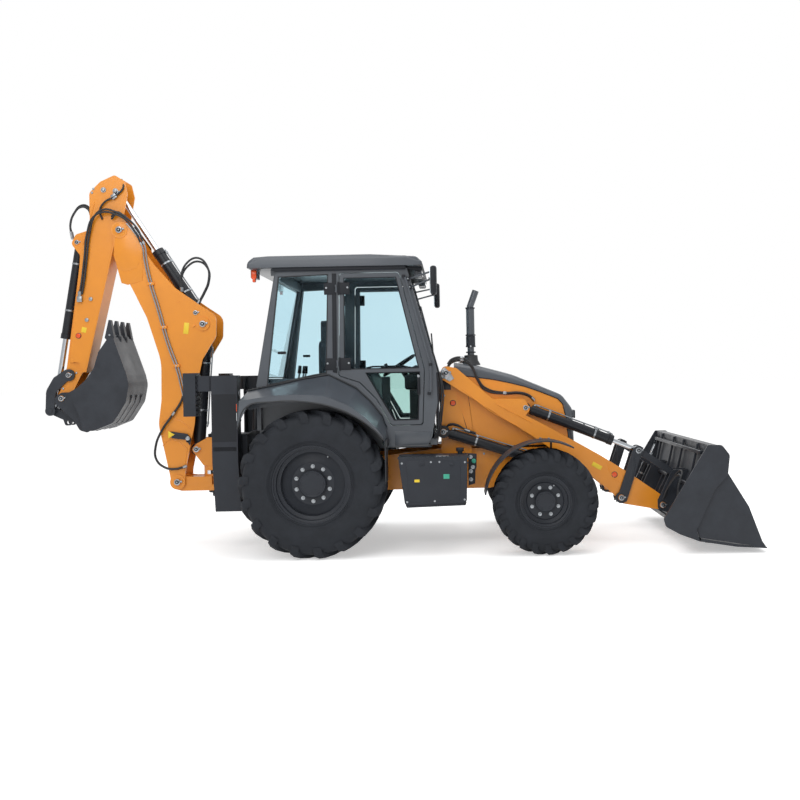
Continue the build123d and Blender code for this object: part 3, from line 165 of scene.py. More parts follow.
@dataclass(frozen=True)
class Finish:
    """One real finish and how it meets the eye."""

    name: str
    colour: str
    tone: str  # the colour of its dust, wear or shade
    share: float  # how much of the tone shows at most
    roughness: float
    spread: float  # how far roughness wanders
    metallic: float = 0.0
    coat: float = 0.0
    cloud_mm: float = 350.0  # patches of the tone
    grain_mm: float = 3.0  # grain of the surface
    depth_mm: float = 0.05  # how deep the grain is
    transmission: float = 0.0
    ior: float = 1.5
    specular: float = 0.5  # 0.5 is the level that its IOR gives

    def build(self) -> bpy.types.Material:
        """Make the material, or return the one already made.

        Returns:
            The Blender material.
        """
        if self.name in bpy.data.materials:
            return bpy.data.materials[self.name]
        material = bpy.data.materials.new(self.name)
        material.use_nodes = True
        tree = material.node_tree
        shader = tree.nodes["Principled BSDF"]
        place = add(tree, "ShaderNodeTexCoord").outputs["Object"]
        cloud = add(tree, "ShaderNodeTexNoise", {"Scale": 1000 / self.cloud_mm, "Detail": 5.0,
                                                 "Roughness": 0.62}, {"Vector": place})
        grain = add(tree, "ShaderNodeTexNoise", {"Scale": 1000 / self.grain_mm, "Detail": 2.0},
                    {"Vector": place})
        mix = add(tree, "ShaderNodeMapRange",
                  {"From Min": 0.35, "From Max": 0.7, "To Min": 0.0, "To Max": self.share},
                  {"Value": cloud.outputs["Fac"]})
        blend = add(tree, "ShaderNodeMix", {"data_type": "RGBA", "6": linear(self.colour),
                                            "7": linear(self.tone)}, {"0": mix.outputs["Result"]})
        rough = add(tree, "ShaderNodeMapRange",
                    {"From Min": 0.3, "From Max": 0.7, "To Min": self.roughness - self.spread,
                     "To Max": self.roughness + self.spread}, {"Value": cloud.outputs["Fac"]})
        bump = add(tree, "ShaderNodeBump", {"Strength": 0.5, "Distance": self.depth_mm / 1000},
                   {"Height": grain.outputs["Fac"]})
        tree.links.new(blend.outputs[2], shader.inputs["Base Color"])
        tree.links.new(rough.outputs["Result"], shader.inputs["Roughness"])
        tree.links.new(bump.outputs["Normal"], shader.inputs["Normal"])
        levels: dict[str, object] = {"Metallic": self.metallic, "Coat Weight": self.coat,
                                     "Coat Roughness": 0.12, "Transmission Weight": self.transmission}
        if not self.metallic:
            levels |= {"IOR": self.ior, "Specular IOR Level": self.specular}
        for name, level in levels.items():
            shader.inputs[name].default_value = level
        return material


# Baked alkyd enamel, sprayed: warm orange under a clear gloss, with a faint orange peel.
ENAMEL = Finish("orange_enamel", "#e48f22", "#d2801e", 0.45, 0.34, 0.06, coat=0.15, grain_mm=6, depth_mm=0.06)
# Powder coat on steel: charcoal with a soft sheen and a fine pebbled grain.
POWDER = Finish("charcoal_powder_coat", "#2a2d33", "#353940", 0.5, 0.46, 0.08, grain_mm=3, depth_mm=0.12,
                specular=0.25)
# The same powder coat on panels that get polished: smoother, and painted a shade lighter as a painted sheen
# that stands in for the reflection of the bright surroundings on their tops.
SHEEN_PANEL = Finish("charcoal_panel_painted_sheen", "#43484f", "#4f555c", 0.5, 0.34, 0.06, coat=0.25, grain_mm=4,
               depth_mm=0.06)
# Rotomoulded polyethylene: near black, matt, with a coarse grain from the mould.
POLYETHYLENE = Finish("black_polyethylene", "#1e2025", "#292c31", 0.5, 0.55, 0.08, grain_mm=2.5,
                      depth_mm=0.15, specular=0.25)
# Phosphated and painted steel of the bucket: dark grey, scuffed to lighter grey.
BUCKET_STEEL = Finish("painted_bucket_steel", "#2a2d33", "#3b3f46", 0.55, 0.42, 0.1, cloud_mm=220, grain_mm=5,
                      depth_mm=0.12, specular=0.3)
# Natural rubber with carbon black, moulded: dull, with a grey bloom of dust.
RUBBER = Finish("tyre_rubber", "#202328", "#32353b", 0.6, 0.72, 0.08, cloud_mm=180, grain_mm=4, depth_mm=0.25,
                specular=0.25)
# Hard chrome over ground steel: bright, with a slight haze.
CHROME = Finish("hard_chrome", "#c3c8cd", "#a3a8ae", 0.4, 0.14, 0.05, metallic=1.0, cloud_mm=120,
                grain_mm=1.5, depth_mm=0.01)
# Zinc plated steel of pins, nuts and pipes: pale grey and slightly mottled.
ZINC = Finish("zinc_plated_steel", "#a3a7ab", "#7f8488", 0.6, 0.34, 0.08, metallic=1.0, cloud_mm=25,
              grain_mm=1.5, depth_mm=0.02)
# Black paint on the drawn tubes of the cylinders: satin.
BARREL_PAINT = Finish("black_cylinder_paint", "#1b1d22", "#292c32", 0.5, 0.36, 0.07, cloud_mm=200, grain_mm=3,
                      depth_mm=0.05, specular=0.3)
# Rubber cover of a hydraulic hose, wrapped while it is cured: black, faintly textured.
HOSE = Finish("hose_rubber", "#202225", "#303236", 0.5, 0.55, 0.08, cloud_mm=60, grain_mm=3, depth_mm=0.15)
# Tinted safety glass: clear with a blue-green body colour.
GLASS = Finish("tinted_safety_glass", "#e0f2f7", "#daeef5", 0.5, 0.02, 0.01, cloud_mm=600, grain_mm=400,
               depth_mm=0.02, transmission=1.0, ior=1.12)
# The doors' lower panes are a darker green glass.
GREEN_GLASS = Finish("green_safety_glass", "#cfe6e2", "#c6deda", 0.5, 0.02, 0.01, cloud_mm=400, grain_mm=400,
                     depth_mm=0.02, transmission=1.0, ior=1.12)
# Woven polyester over foam: charcoal with a coarse weave.
CLOTH = Finish("woven_seat_cloth", "#2f3338", "#44494f", 0.6, 0.85, 0.05, cloud_mm=90, grain_mm=2.0,
               depth_mm=0.5)
# Moulded acrylic lenses: deep orange, glossy.
AMBER_LENS = Finish("amber_acrylic", "#e8551c", "#d9481a", 0.4, 0.15, 0.04, cloud_mm=40, grain_mm=8,
                    depth_mm=0.2)
# Clear acrylic of the work lamps over a bright reflector.
CLEAR_LENS = Finish("clear_acrylic", "#d5dadd", "#bfc5c9", 0.4, 0.12, 0.04, cloud_mm=40, grain_mm=10,
                    depth_mm=0.3)
# Vinyl film: a plain yellow plate without words.
YELLOW_FILM = Finish("yellow_vinyl", "#e9c92f", "#dcbc2c", 0.4, 0.4, 0.05, cloud_mm=60, grain_mm=4,
                     depth_mm=0.02)
# Vinyl film: a plain green plate without words.
GREEN_FILM = Finish("green_vinyl", "#3aa287", "#32937b", 0.4, 0.4, 0.05, cloud_mm=60, grain_mm=4,
                    depth_mm=0.02)
# Silvered glass of the mirrors.
MIRROR = Finish("mirror_glass", "#c9d1d6", "#c0c8ce", 0.3, 0.05, 0.01, metallic=1.0, grain_mm=300,
                depth_mm=0.01)


class Shape:
    """A mesh being shaped, in millimetres from the rear axle."""

    def __init__(self, finish: Finish, node: Optional[str] = None) -> None:
        """Start empty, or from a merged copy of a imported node.

        Args:
            finish: the finish of whatever isn't given another.
            node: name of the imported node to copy.
        """
        self.mesh = bmesh.new()
        self.made_here = node is None
        self.finishes = [finish]
        if node is not None:
            self.mesh.from_mesh(bpy.data.objects[node].data)
            bmesh.ops.transform(self.mesh, matrix=FROM_FRAME, verts=self.mesh.verts)
            bmesh.ops.remove_doubles(self.mesh, verts=self.mesh.verts, dist=0.02)
            self.coat(self.mesh.faces, finish)

    def coat(self, faces: Iterable[bmesh.types.BMFace], finish: Optional[Finish]) -> None:
        """Give some faces a finish.

        Args:
            faces: the faces.
            finish: the finish, or None for the shape's own.
        """
        if finish is not None and finish not in self.finishes:
            self.finishes.append(finish)
        number = self.finishes.index(finish) if finish is not None else 0
        for face in faces:
            face.material_index = number

    def coat_at(self, verts: Iterable[bmesh.types.BMVert], finish: Optional[Finish]) -> None:
        """Give the faces that touch some vertices a finish."""
        self.coat((face for vert in verts for face in vert.link_faces), finish)

    def soften(self, verts: Iterable[bmesh.types.BMVert], width: float, angle: float = 30.0) -> None:
        """Bevel the sharp edges between some vertices.

        Args:
            verts: the piece's vertices.
            width: the bevel's width.
            angle: the least angle that counts as sharp, in degrees.
        """
        known = set(verts)
        edges = {e for v in known for e in v.link_edges
                 if e.is_manifold and e.calc_face_angle(0) > radians(angle)}
        bmesh.ops.bevel(self.mesh, geom=list(edges), offset=width, affect="EDGES", segments=2, profile=0.5,
                        material=-1, clamp_overlap=True)

    def box(self, low: Point, high: Point, finish: Optional[Finish] = None, round_mm: float = 0.0,
            turn: Optional[Matrix] = None) -> None:
        """Add a box between two corners.

        Args:
            low: one corner.
            high: the other corner.
            finish: its finish, or None for the shape's own.
            round_mm: bevel of its edges.
            turn: a turn about the box's middle.
        """
        a, b = Vector(low), Vector(high)
        size = [abs(v) for v in (b - a)]
        matrix = Matrix.Translation((a + b) / 2) @ (turn or Matrix()) @ Matrix.Diagonal((*size, 1.0))
        verts = bmesh.ops.create_cube(self.mesh, size=1.0, matrix=matrix)["verts"]
        self.coat_at(verts, finish)
        if round_mm:
            self.soften(verts, round_mm)

    def box_at(self, middle: Point, size: Point, finish: Optional[Finish] = None, round_mm: float = 0.0,
               lean: float = 0.0) -> None:
        """Add a box by its middle and sizes.

        Args:
            middle: the box's middle.
            size: its three sizes.
            finish: its finish, or None for the shape's own.
            round_mm: bevel of its edges.
            lean: turn about the Y axis, in degrees.
        """
        low = [m - v / 2 for m, v in zip(middle, size)]
        high = [m + v / 2 for m, v in zip(middle, size)]
        self.box(low, high, finish, round_mm, leaning(lean))

    def rod(self, start: Point, end: Point, radius: float, finish: Optional[Finish] = None,
            segments: int = 20, far_radius: Optional[float] = None, round_mm: float = 0.0) -> None:
        """Add a round bar, cone or prism between two points.

        Args:
            start: middle of one end.
            end: middle of the other end.
            radius: radius at the start.
            finish: its finish, or None for the shape's own.
            segments: sides of the section; 6 makes a hexagon.
            far_radius: radius at the end, if it differs.
            round_mm: bevel of its rims.
        """
        a, b = Vector(start), Vector(end)
        turn = (b - a).to_track_quat("Z", "Y").to_matrix().to_4x4()
        made = bmesh.ops.create_cone(self.mesh, cap_ends=True, cap_tris=False, segments=segments,
                                     radius1=radius, radius2=radius if far_radius is None else far_radius,
                                     depth=(b - a).length, matrix=Matrix.Translation((a + b) / 2) @ turn)
        self.coat_at(made["verts"], finish)
        if round_mm:
            self.soften(made["verts"], round_mm, angle=45.0)

    def hexagon(self, start: Point, end: Point, radius: float, finish: Optional[Finish] = None) -> None:
        """Add a hexagon fitting between two points."""
        self.rod(start, end, radius, finish, HEX)

    def cross(self, middle: Point, radius: float, y0: float, y1: float, finish: Optional[Finish] = None,
              segments: int = 24, round_mm: float = 0.0) -> None:
        """Add a round bar along Y at a point (x, z)."""
        self.rod((middle[0], y0, middle[1]), (middle[0], y1, middle[1]), radius, finish, segments,
                 round_mm=round_mm)

    def plate(self, points: Sequence[Point], y0: float, y1: float, finish: Optional[Finish] = None,
              round_mm: float = 0.0) -> None:
        """Add a flat plate whose outline lies in side view.

        Args:
            points: corners (x, z).
            y0: where one face lies.
            y1: where the other face lies.
            finish: its finish, or None for the shape's own.
            round_mm: bevel of its edges.
        """
        verts = [self.mesh.verts.new((x, y0, z)) for x, z in points]
        face = self.mesh.faces.new(verts)
        made = bmesh.ops.extrude_face_region(self.mesh, geom=[face])
        far = [g for g in made["geom"] if isinstance(g, bmesh.types.BMVert)]
        bmesh.ops.translate(self.mesh, vec=(0, y1 - y0, 0), verts=far)
        self.coat_at(verts + far, finish)
        if round_mm:
            self.soften(verts + far, round_mm, angle=40.0)

    def turned(self, profile: Sequence[Point], centre: Point, axis: Point, finish: Optional[Finish] = None,
               segments: int = 64) -> None:
        """Spin a profile about an axis through a point.

        Args:
            profile: corners (radius, distance along the axis), closed by its last run.
            centre: a point on the axis.
            axis: the axis.
            finish: its finish, or None for the shape's own.
            segments: steps of the full turn.
        """
        along = Vector(axis).normalized()
        across = along.orthogonal().normalized()
        origin = Vector(centre)
        verts = [self.mesh.verts.new(origin + across * r + along * d) for r, d in profile]
        edges = [self.mesh.edges.new((verts[i - 1], verts[i])) for i in range(len(verts))]
        made = bmesh.ops.spin(self.mesh, geom=verts + edges, cent=origin, axis=along, dvec=(0, 0, 0),
                              angle=2 * pi, steps=segments, use_merge=True, use_duplicate=False)
        ends = [g for g in made["geom_last"] if isinstance(g, bmesh.types.BMVert)]
        faces = {f for v in verts + ends for f in v.link_faces}
        grown = set(faces)
        while faces:
            faces = {g for f in faces for e in f.edges for g in e.link_faces} - grown
            grown |= faces
        self.coat(grown, finish)

    def hose(self, points: Sequence[Point], radius: float, finish: Optional[Finish] = None,
             fine: int = 6) -> None:
        """Add a round tube along a smooth route.

        Args:
            points: places the route passes, end to end.
            radius: the tube's radius.
            finish: its finish, or None for the shape's own.
            fine: steps between two places.
        """
        curve = bpy.data.curves.new("route", "CURVE")
        curve.dimensions = "3D"
        curve.bevel_depth, curve.bevel_resolution, curve.resolution_u = radius, 2, fine
        curve.use_fill_caps = True
        spline = curve.splines.new("BEZIER")
        spline.bezier_points.add(len(points) - 1)
        for place, point in zip(spline.bezier_points, points):
            place.co = point
            place.handle_left_type = place.handle_right_type = "AUTO"
        self.absorb(curve, finish)

    def wire(self, points: Sequence[Point], radius: float, finish: Optional[Finish] = None,
             closed: bool = False) -> None:
        """Add a bent bar along straight runs.

        Args:
            points: corners of the route.
            radius: the bar's radius.
            finish: its finish, or None for the shape's own.
            closed: whether the last point joins the first.
        """
        curve = bpy.data.curves.new("route", "CURVE")
        curve.dimensions = "3D"
        curve.bevel_depth, curve.bevel_resolution = radius, 3
        curve.use_fill_caps = True
        spline = curve.splines.new("POLY")
        spline.points.add(len(points) - 1)
        for place, point in zip(spline.points, points):
            place.co = (*point, 1.0)
        spline.use_cyclic_u = closed
        self.absorb(curve, finish)

    def absorb(self, curve: bpy.types.Curve, finish: Optional[Finish]) -> None:
        """Turn a curve into faces of this shape.

        Args:
            curve: the curve's data, which is removed.
            finish: its finish, or None for the shape's own.
        """
        holder = bpy.data.objects.new("route", curve)
        bpy.context.scene.collection.objects.link(holder)
        bpy.context.view_layer.update()
        data = bpy.data.meshes.new_from_object(holder.evaluated_get(bpy.context.evaluated_depsgraph_get()))
        known = set(self.mesh.faces)
        self.mesh.from_mesh(data)
        self.coat((face for face in self.mesh.faces if face not in known), finish)
        bpy.data.objects.remove(holder)
        bpy.data.curves.remove(curve)
        bpy.data.meshes.remove(data)

    def bolt(self, place: Point, outward: Point, radius: float, finish: Optional[Finish] = None,
             washer: Optional[Finish] = None) -> None:
        """Add a hexagon head on a washer.

        Args:
            place: where the head meets the surface.
            outward: direction away from the surface.
            radius: radius of the head's corners.
            finish: the head's finish, or None for the shape's own.
            washer: the washer's finish, or None for no washer.
        """
        out = Vector(outward).normalized()
        base = Vector(place)
        start = base
        if washer is not None:
            self.rod(base, base + out * radius * 0.25, radius * 1.35, washer, 20)
            start = base + out * radius * 0.25
        self.rod(start, start + out * radius * 0.7, radius, finish, HEX, round_mm=radius * 0.08)

    def bolts(self, places: Iterable[Point], y: float, radius: float, finish: Optional[Finish] = None,
              washer: Optional[Finish] = None) -> None:
        """Add bolt heads that face out on the machine's right.

        Args:
            places: where each stands, as (x, z).
            y: where the heads meet the surface.
            radius: radius of the heads' corners.
            finish: the heads' finish, or None for the shape's own.
            washer: the washers' finish, or None for no washers.
        """
        for x, z in places:
            self.bolt((x, y, z), OUT_RIGHT, radius, finish, washer)

    def reflector(self, middle: Point, y: float, rim: float, lens: float, finish: Finish) -> None:
        """Add a round reflector that faces out on the machine's right.

        Args:
            middle: its middle, as (x, z).
            y: the surface it is on.
            rim: radius of its rim.
            lens: radius of its amber lens.
            finish: the rim's finish.
        """
        self.cross(middle, rim, y + 1, y - 5, finish, 40, 1.5)
        self.cross(middle, lens, y - 4, y - 9, AMBER_LENS, 40, 2.0)

    def mirror(self) -> None:
        """Add the mirror image across the machine's middle."""
        geom = self.mesh.verts[:] + self.mesh.edges[:] + self.mesh.faces[:]
        bmesh.ops.mirror(self.mesh, geom=geom, matrix=Matrix(), merge_dist=0.0001, axis="Y")

    def settle(self, side: Side) -> None:
        """Take the shape, which is made on the right, to its side of the machine."""
        if side is Side.LEFT:
            bmesh.ops.scale(self.mesh, vec=(1.0, -1.0, 1.0), verts=self.mesh.verts)
            bmesh.ops.reverse_faces(self.mesh, faces=self.mesh.faces)

    def paint(self, finish: Finish, test: Test) -> None:
        """Give a finish to the faces that pass a test.

        Args:
            finish: the finish.
            test: takes a face's middle.
        """
        self.coat((face for face in self.mesh.faces if test(face.calc_center_median())), finish)

    def done(self, name: str, body: str,
             nodes: Sequence[str] = (), angle: float = SHARP, bevel_mm: float = 0.0) -> bpy.types.Object:
        """Finish the shape as an object that rides on a body.

        Args:
            name: the piece's name.
            body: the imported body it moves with.
            nodes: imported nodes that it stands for.
            angle: edges sharper than this, in degrees, stay sharp.
            bevel_mm: width of a live bevel on the sharp edges.

        Returns:
            The new object.
        """
        if self.made_here:
            bmesh.ops.recalc_face_normals(self.mesh, faces=self.mesh.faces)
        bmesh.ops.transform(self.mesh, matrix=TO_FRAME, verts=self.mesh.verts)
        if bevel_mm:  # flat faces become whole, so that the bevel runs along true edges only
            bmesh.ops.dissolve_limit(self.mesh, angle_limit=radians(0.5), verts=self.mesh.verts,
                                     edges=self.mesh.edges, delimit={"MATERIAL"})
        for face in self.mesh.faces:
            face.smooth = True
        for edge in self.mesh.edges:
            edge.smooth = edge.is_manifold and edge.calc_face_angle(0) < radians(angle)
        data = bpy.data.meshes.new(name)
        self.mesh.to_mesh(data)
        self.mesh.free()
        for finish in self.finishes:
            data.materials.append(finish.build())
        piece = bpy.data.objects.new(name, data)
        bpy.context.scene.collection.objects.link(piece)
        if bevel_mm:
            bevel = piece.modifiers.new("edge", "BEVEL")
            bevel.width, bevel.segments = bevel_mm / 1000, 2
            bevel.limit_method, bevel.angle_limit = "ANGLE", radians(angle)
            bevel.use_clamp_overlap, bevel.harden_normals = True, True
        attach(piece, body)
        if nodes:
            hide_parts(*nodes)
        LOG.info("%s: %d faces on %s", name, len(data.polygons), body)
        return piece


@dataclass
class Wheel:
    """A tyre with bar lugs on a dished rim."""

    end: str
    x: float  # of the axle
    track: float  # between the tyres' middles
    radius: float  # over the lugs
    width: float
    rim: float  # radius of the bead seat
    lugs: int  # on each half of the tread
    lug_deep: float
    hub: float  # radius of the hub's cap
    nut_circle: float  # radius of the ring of nuts
    nuts: int
    nut: float  # radius of a nut's corners
    dish: float  # from the tyre's middle out to the disc's face
    bead: float = 45.0  # from the tyre's side in to the rim's flange
    cap_deep: float = 46.0  # how far the hub's cap stands out

    def build(self) -> None:
        """Make both wheels of the axle."""
        for side in Side:
            self.tyre(side)
            self.wheel(side)

    def tyre(self, side: Side) -> None:
        """Build the carcass by a spin and set its lugs round it.

        Args:
            side: the side of the machine.
        """
        shape = Shape(RUBBER)
        y, half = side.value * self.track / 2, self.width / 2
        base = self.radius - self.lug_deep
        rim = self.rim
        belly = rim + (base - rim) * 0.52
        profile = [(rim, half - self.bead), (rim + 12, half - 34), (rim + 22, half - 36),
                   (rim + 40, half - 16), (rim + 46, half - 12), (rim + 52, half - 13),
                   (rim + 70, half - 5), (belly, half), (base - 70, half - 8), (base - 32, half - 26),
                   (base - 6, half - 66), (base, 0)]
        ring = profile + [(r, -d) for r, d in reversed(profile[:-1])]
        shape.turned(ring, (self.x, y, self.radius), (0, 1, 0), RUBBER, 96)
        step = 2 * pi / self.lugs
        for hand in (-1, 1):
            self.lug_row(shape, y, hand, step / 2 if hand > 0 else 0.0)
        shape.done(f"{self.end}_tyre_{side.word}_tread", f"{self.end}_wheel_{side.word}",
                   [f"{self.end}_tyre_{side.word}"], angle=40.0)

    def lug_row(self, shape: Shape, y: float, hand: int, turn: float) -> None:
        """Draw one lug out from near the tread's middle over the shoulder, and repeat it round the tyre.

        Args:
            shape: the tyre's shape.
            y: middle of the tyre.
            hand: which half of the tread the row is on.
            turn: place of the first lug round the tyre.
        """
        half, deep, full = self.width / 2, self.lug_deep, self.radius
        thick = full * 0.083
        # across the tread, top radius, low radius, angle along the tread, share of the thickness
        stations = ((half * 0.02, full - 1.5, full - deep - 12, 0.0, 0.82),
                    (half * 0.42, full - 1.5, full - deep - 12, 0.098, 0.95),
                    (half * 0.80, full - 8, full - deep - 26, 0.213, 1.15),
                    (half * 0.965, full - 34, full - deep - 44, 0.259, 1.3),
                    (half * 0.992, full - deep - 46, full - deep - 84, 0.270, 1.4))
        axle = Matrix.Translation((self.x, y, full))
        places = []
        for across, top, low, ahead, share in stations:
            bend = axle @ Matrix.Rotation(turn + ahead, 4, "Y")
            middle = Matrix.Translation((0.0, hand * across, (top + low) / 2))
            places.append(bend @ middle @ Matrix.Diagonal((thick * share, 1.0, top - low, 1.0)))
        made = bmesh.ops.create_grid(shape.mesh, x_segments=1, y_segments=1, size=0.5,
                                     matrix=places[0] @ Matrix.Rotation(pi / 2, 4, "X"))
        verts = list(made["verts"])
        face = verts[0].link_faces[0]
        for near, far in zip(places, places[1:]):
            grown = bmesh.ops.extrude_face_region(shape.mesh, geom=[face])["geom"]
            moved = [g for g in grown if isinstance(g, bmesh.types.BMVert)]
            bmesh.ops.transform(shape.mesh, matrix=far @ near.inverted(), verts=moved)
            face = next(g for g in grown if isinstance(g, bmesh.types.BMFace))
            verts += moved
        known = set(verts)
        faces = {f for v in verts for f in v.link_faces}
        edges = {e for f in faces for e in f.edges if e.is_manifold and e.calc_face_angle(0) > radians(50)}
        bevelled = bmesh.ops.bevel(shape.mesh, geom=list(edges), offset=3.0, affect="EDGES", segments=1,
                                   profile=0.5, material=-1, clamp_overlap=True)
        lug = {v for v in known if v.is_valid} | set(bevelled["verts"])
        whole = {f for v in lug for f in v.link_faces}
        geom = list(lug) + list({e for f in whole for e in f.edges}) + list(whole)
        bmesh.ops.spin(shape.mesh, geom=geom, cent=(self.x, y, full), axis=(0, 1, 0), dvec=(0, 0, 0),
                       angle=2 * pi * (self.lugs - 1) / self.lugs, steps=self.lugs - 1, use_merge=False,
                       use_duplicate=True)

    def wheel(self, side: Side) -> None:
        """Spin the rim with its flanges, and set its disc, hub and nuts.

        Args:
            side: the side of the machine.
        """
        shape = Shape(POWDER)
        out = side.value
        y, half = out * self.track / 2, self.width / 2 - self.bead
        centre = (self.x, y, self.radius)
        outer, wall, rim = self.rim - 1, 9.0, self.rim
        barrel = [(outer, half), (outer, half - 26), (outer - 20, half - 34), (outer - 24, half - 72),
                  (outer - 56, half - 88), (outer - 56, -half + 88), (outer - 24, -half + 72),
                  (outer - 20, -half + 34), (outer, -half + 26), (outer, -half)]
        inner = [(r - wall, d) for r, d in reversed(barrel)]
        shape.turned([(r, out * d) for r, d in barrel + inner], centre, (0, 1, 0), POWDER, 96)
        face = self.dish
        disc = [(0.5, face), (self.nut_circle + 36, face), (self.nut_circle + 52, face - 10),
                (rim - 92, face - 26), (rim - 60, face - 30), (rim - 60, face - 44), (0.5, face - 40)]
        shape.turned([(r, out * d) for r, d in disc], centre, (0, 1, 0), POWDER, 96)
        cap = face + self.cap_deep
        hub = [(0.5, face), (self.hub, face), (self.hub, cap - 2), (self.hub - 6, cap + 4),
               (self.hub - 14, cap + 4), (self.hub - 20, cap), (0.5, cap)]
        shape.turned([(r, out * d) for r, d in hub], centre, (0, 1, 0), POWDER, 64)
        for i in range(self.nuts):
            turn = 2 * pi * (i + 0.5) / self.nuts
            base = (self.x + self.nut_circle * cos(turn), y + out * face,
                    self.radius + self.nut_circle * sin(turn))
            shape.bolt(base, (0, out, 0), self.nut, ZINC, ZINC)
            tip = base[1] + out * self.nut * 1.5
            shape.rod((base[0], base[1] + out * self.nut * 0.8, base[2]), (base[0], tip, base[2]),
                      self.nut * 0.5, ZINC, 12)
        reach = self.hub - 28
        for i in range(6):
            turn = 2 * pi * i / 6
            shape.bolt((self.x + reach * cos(turn), y + out * cap, self.radius + reach * sin(turn)),
                       (0, out, 0), 7, POWDER)
        valve, reach = radians(60), rim - 78
        stem = (self.x + reach * cos(valve), y + out * (face - 20), self.radius + reach * sin(valve))
        shape.rod(stem, (stem[0], stem[1] + out * 36, stem[2]), 6, ZINC, 10)
        shape.done(f"{self.end}_rim_{side.word}_dressed", f"{self.end}_wheel_{side.word}",
                   [f"{self.end}_rim_{side.word}"], angle=30.0)


WHEELS = (
    Wheel(end="rear", x=REAR_AXLE[0], track=1760.0, radius=REAR_AXLE[1], width=430.0, rim=370.0,
          lugs=18, lug_deep=36.0, hub=128.0, nut_circle=165.0, nuts=10, nut=14.0, dish=60.0),
    Wheel(end="front", x=FRONT_AXLE[0], track=1880.0, radius=FRONT_AXLE[1], width=320.0, rim=245.0,
          lugs=22, lug_deep=26.0, hub=98.0, nut_circle=134.0, nuts=8, nut=13.0, dish=30.0),
)


@dataclass
class Dressed:
    """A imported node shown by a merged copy, with its finish and what is painted otherwise."""

    node: str
    body: str
    finish: Finish
    slot: Slot
    bevel_mm: float = 0.0
    rules: tuple[tuple[Finish, Test], ...] = ()

    def build(self) -> None:
        """Make the copy, paint its zones and let it stand for the node."""
        shape = Shape(self.finish, self.node)
        for finish, test in self.rules:
            shape.paint(finish, test)
        shape.done(f"{self.node}_skin", self.body, [self.node], bevel_mm=self.bevel_mm)


class Coat(Enum):
    """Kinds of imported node, by their finish and the record's slot."""

    ORANGE = (ENAMEL, Slot.BODY)
    PANELS = (SHEEN_PANEL, Slot.DARK)
    STEEL = (BUCKET_STEEL, Slot.DARK)
    BLACK = (POWDER, Slot.DARK)
    PANES = (GLASS, Slot.GLASS)
    RODS = (CHROME, Slot.CHROME)
    BARRELS = (BARREL_PAINT, Slot.DARK)
    CABIN = (CLOTH, Slot.SEAT)

    @classmethod
    def of(cls, node: str) -> "Coat":
        """Choose the kind of a node.

        Args:
            node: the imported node's name.

        Returns:
            Its kind.
        """
        for kind, names in COATED.items():
            if node in names:
                return cls[kind]
        if "glass" in node:
            return cls.PANES
        if node.endswith("_rod") or "_rod_" in node:
            return cls.RODS
        if "barrel" in node:
            return cls.BARRELS
        return cls.BLACK


# nodes by the name of their kind; the rest are told by their own names
COATED = {
    "ORANGE": ("loader_arms", "boom", "dipper", "extension", "hood_sides", "swing_post", "front_axle"),
    "PANELS": ("hood_cover", "cab_roof", "fenders", "exhaust", "cab_frame", "door_left", "door_right"),
    "STEEL": ("loader_bucket", "bucket_clam", "hoe_bucket", "idler", "tip_link", "tilt_levers", "tilt_links"),
    "CABIN": ("seat",),
}
# width of the live bevel on the edges of large plates and panels
SOFT_EDGES = {"loader_arms": 3.0, "boom": 3.0, "dipper": 3.0, "hood_cover": 4.0, "cab_frame": 3.0,
              "fenders": 5.0, "cab_roof": 4.0, "side_boxes": 4.0, "loader_bucket": 2.0, "hoe_bucket": 2.5}
GREEN_BELOW = 1760.0  # the doors' panes are green below this
FRAME_ORANGE_FROM = -700.0  # the frame is orange ahead of this
CLOTH_FROM_Z, CLOTH_TO_X = 1420.0, 600.0  # the seat is cloth above and behind these


def body_of_nodes(frame: dict[str, dict]) -> dict[str, str]:
    """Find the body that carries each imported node.


    Returns:
        Body names by node name.
    """
    groups = frame["record"]["behaviour"]["bodies"]
    return {node: body for body, nodes in groups.items() for node in nodes}


def plain_copies(bodies: dict[str, str]) -> None:
    """Dress every node that no class of its own builds.

    Args:
        bodies: body names by node name.
    """
    for node, body in bodies.items():
        if "tyre" in node or "rim" in node or node == "frame":
            continue
        finish, slot = Coat.of(node).value
        rules: tuple[tuple[Finish, Test], ...] = ()
        if node.startswith("door_glass"):
            rules = ((GREEN_GLASS, lambda middle: middle.z < GREEN_BELOW),)
        if node == "seat":
            rules = ((POLYETHYLENE, lambda middle: middle.x > CLOTH_TO_X or middle.z < CLOTH_FROM_Z),)
        Dressed(node, body, finish, slot, SOFT_EDGES.get(node, 0.0), rules).build()
    orange = ((ENAMEL, lambda middle: middle.x > FRAME_ORANGE_FROM),)
    Dressed("frame", bodies["frame"], POWDER, Slot.BODY, rules=orange).build()


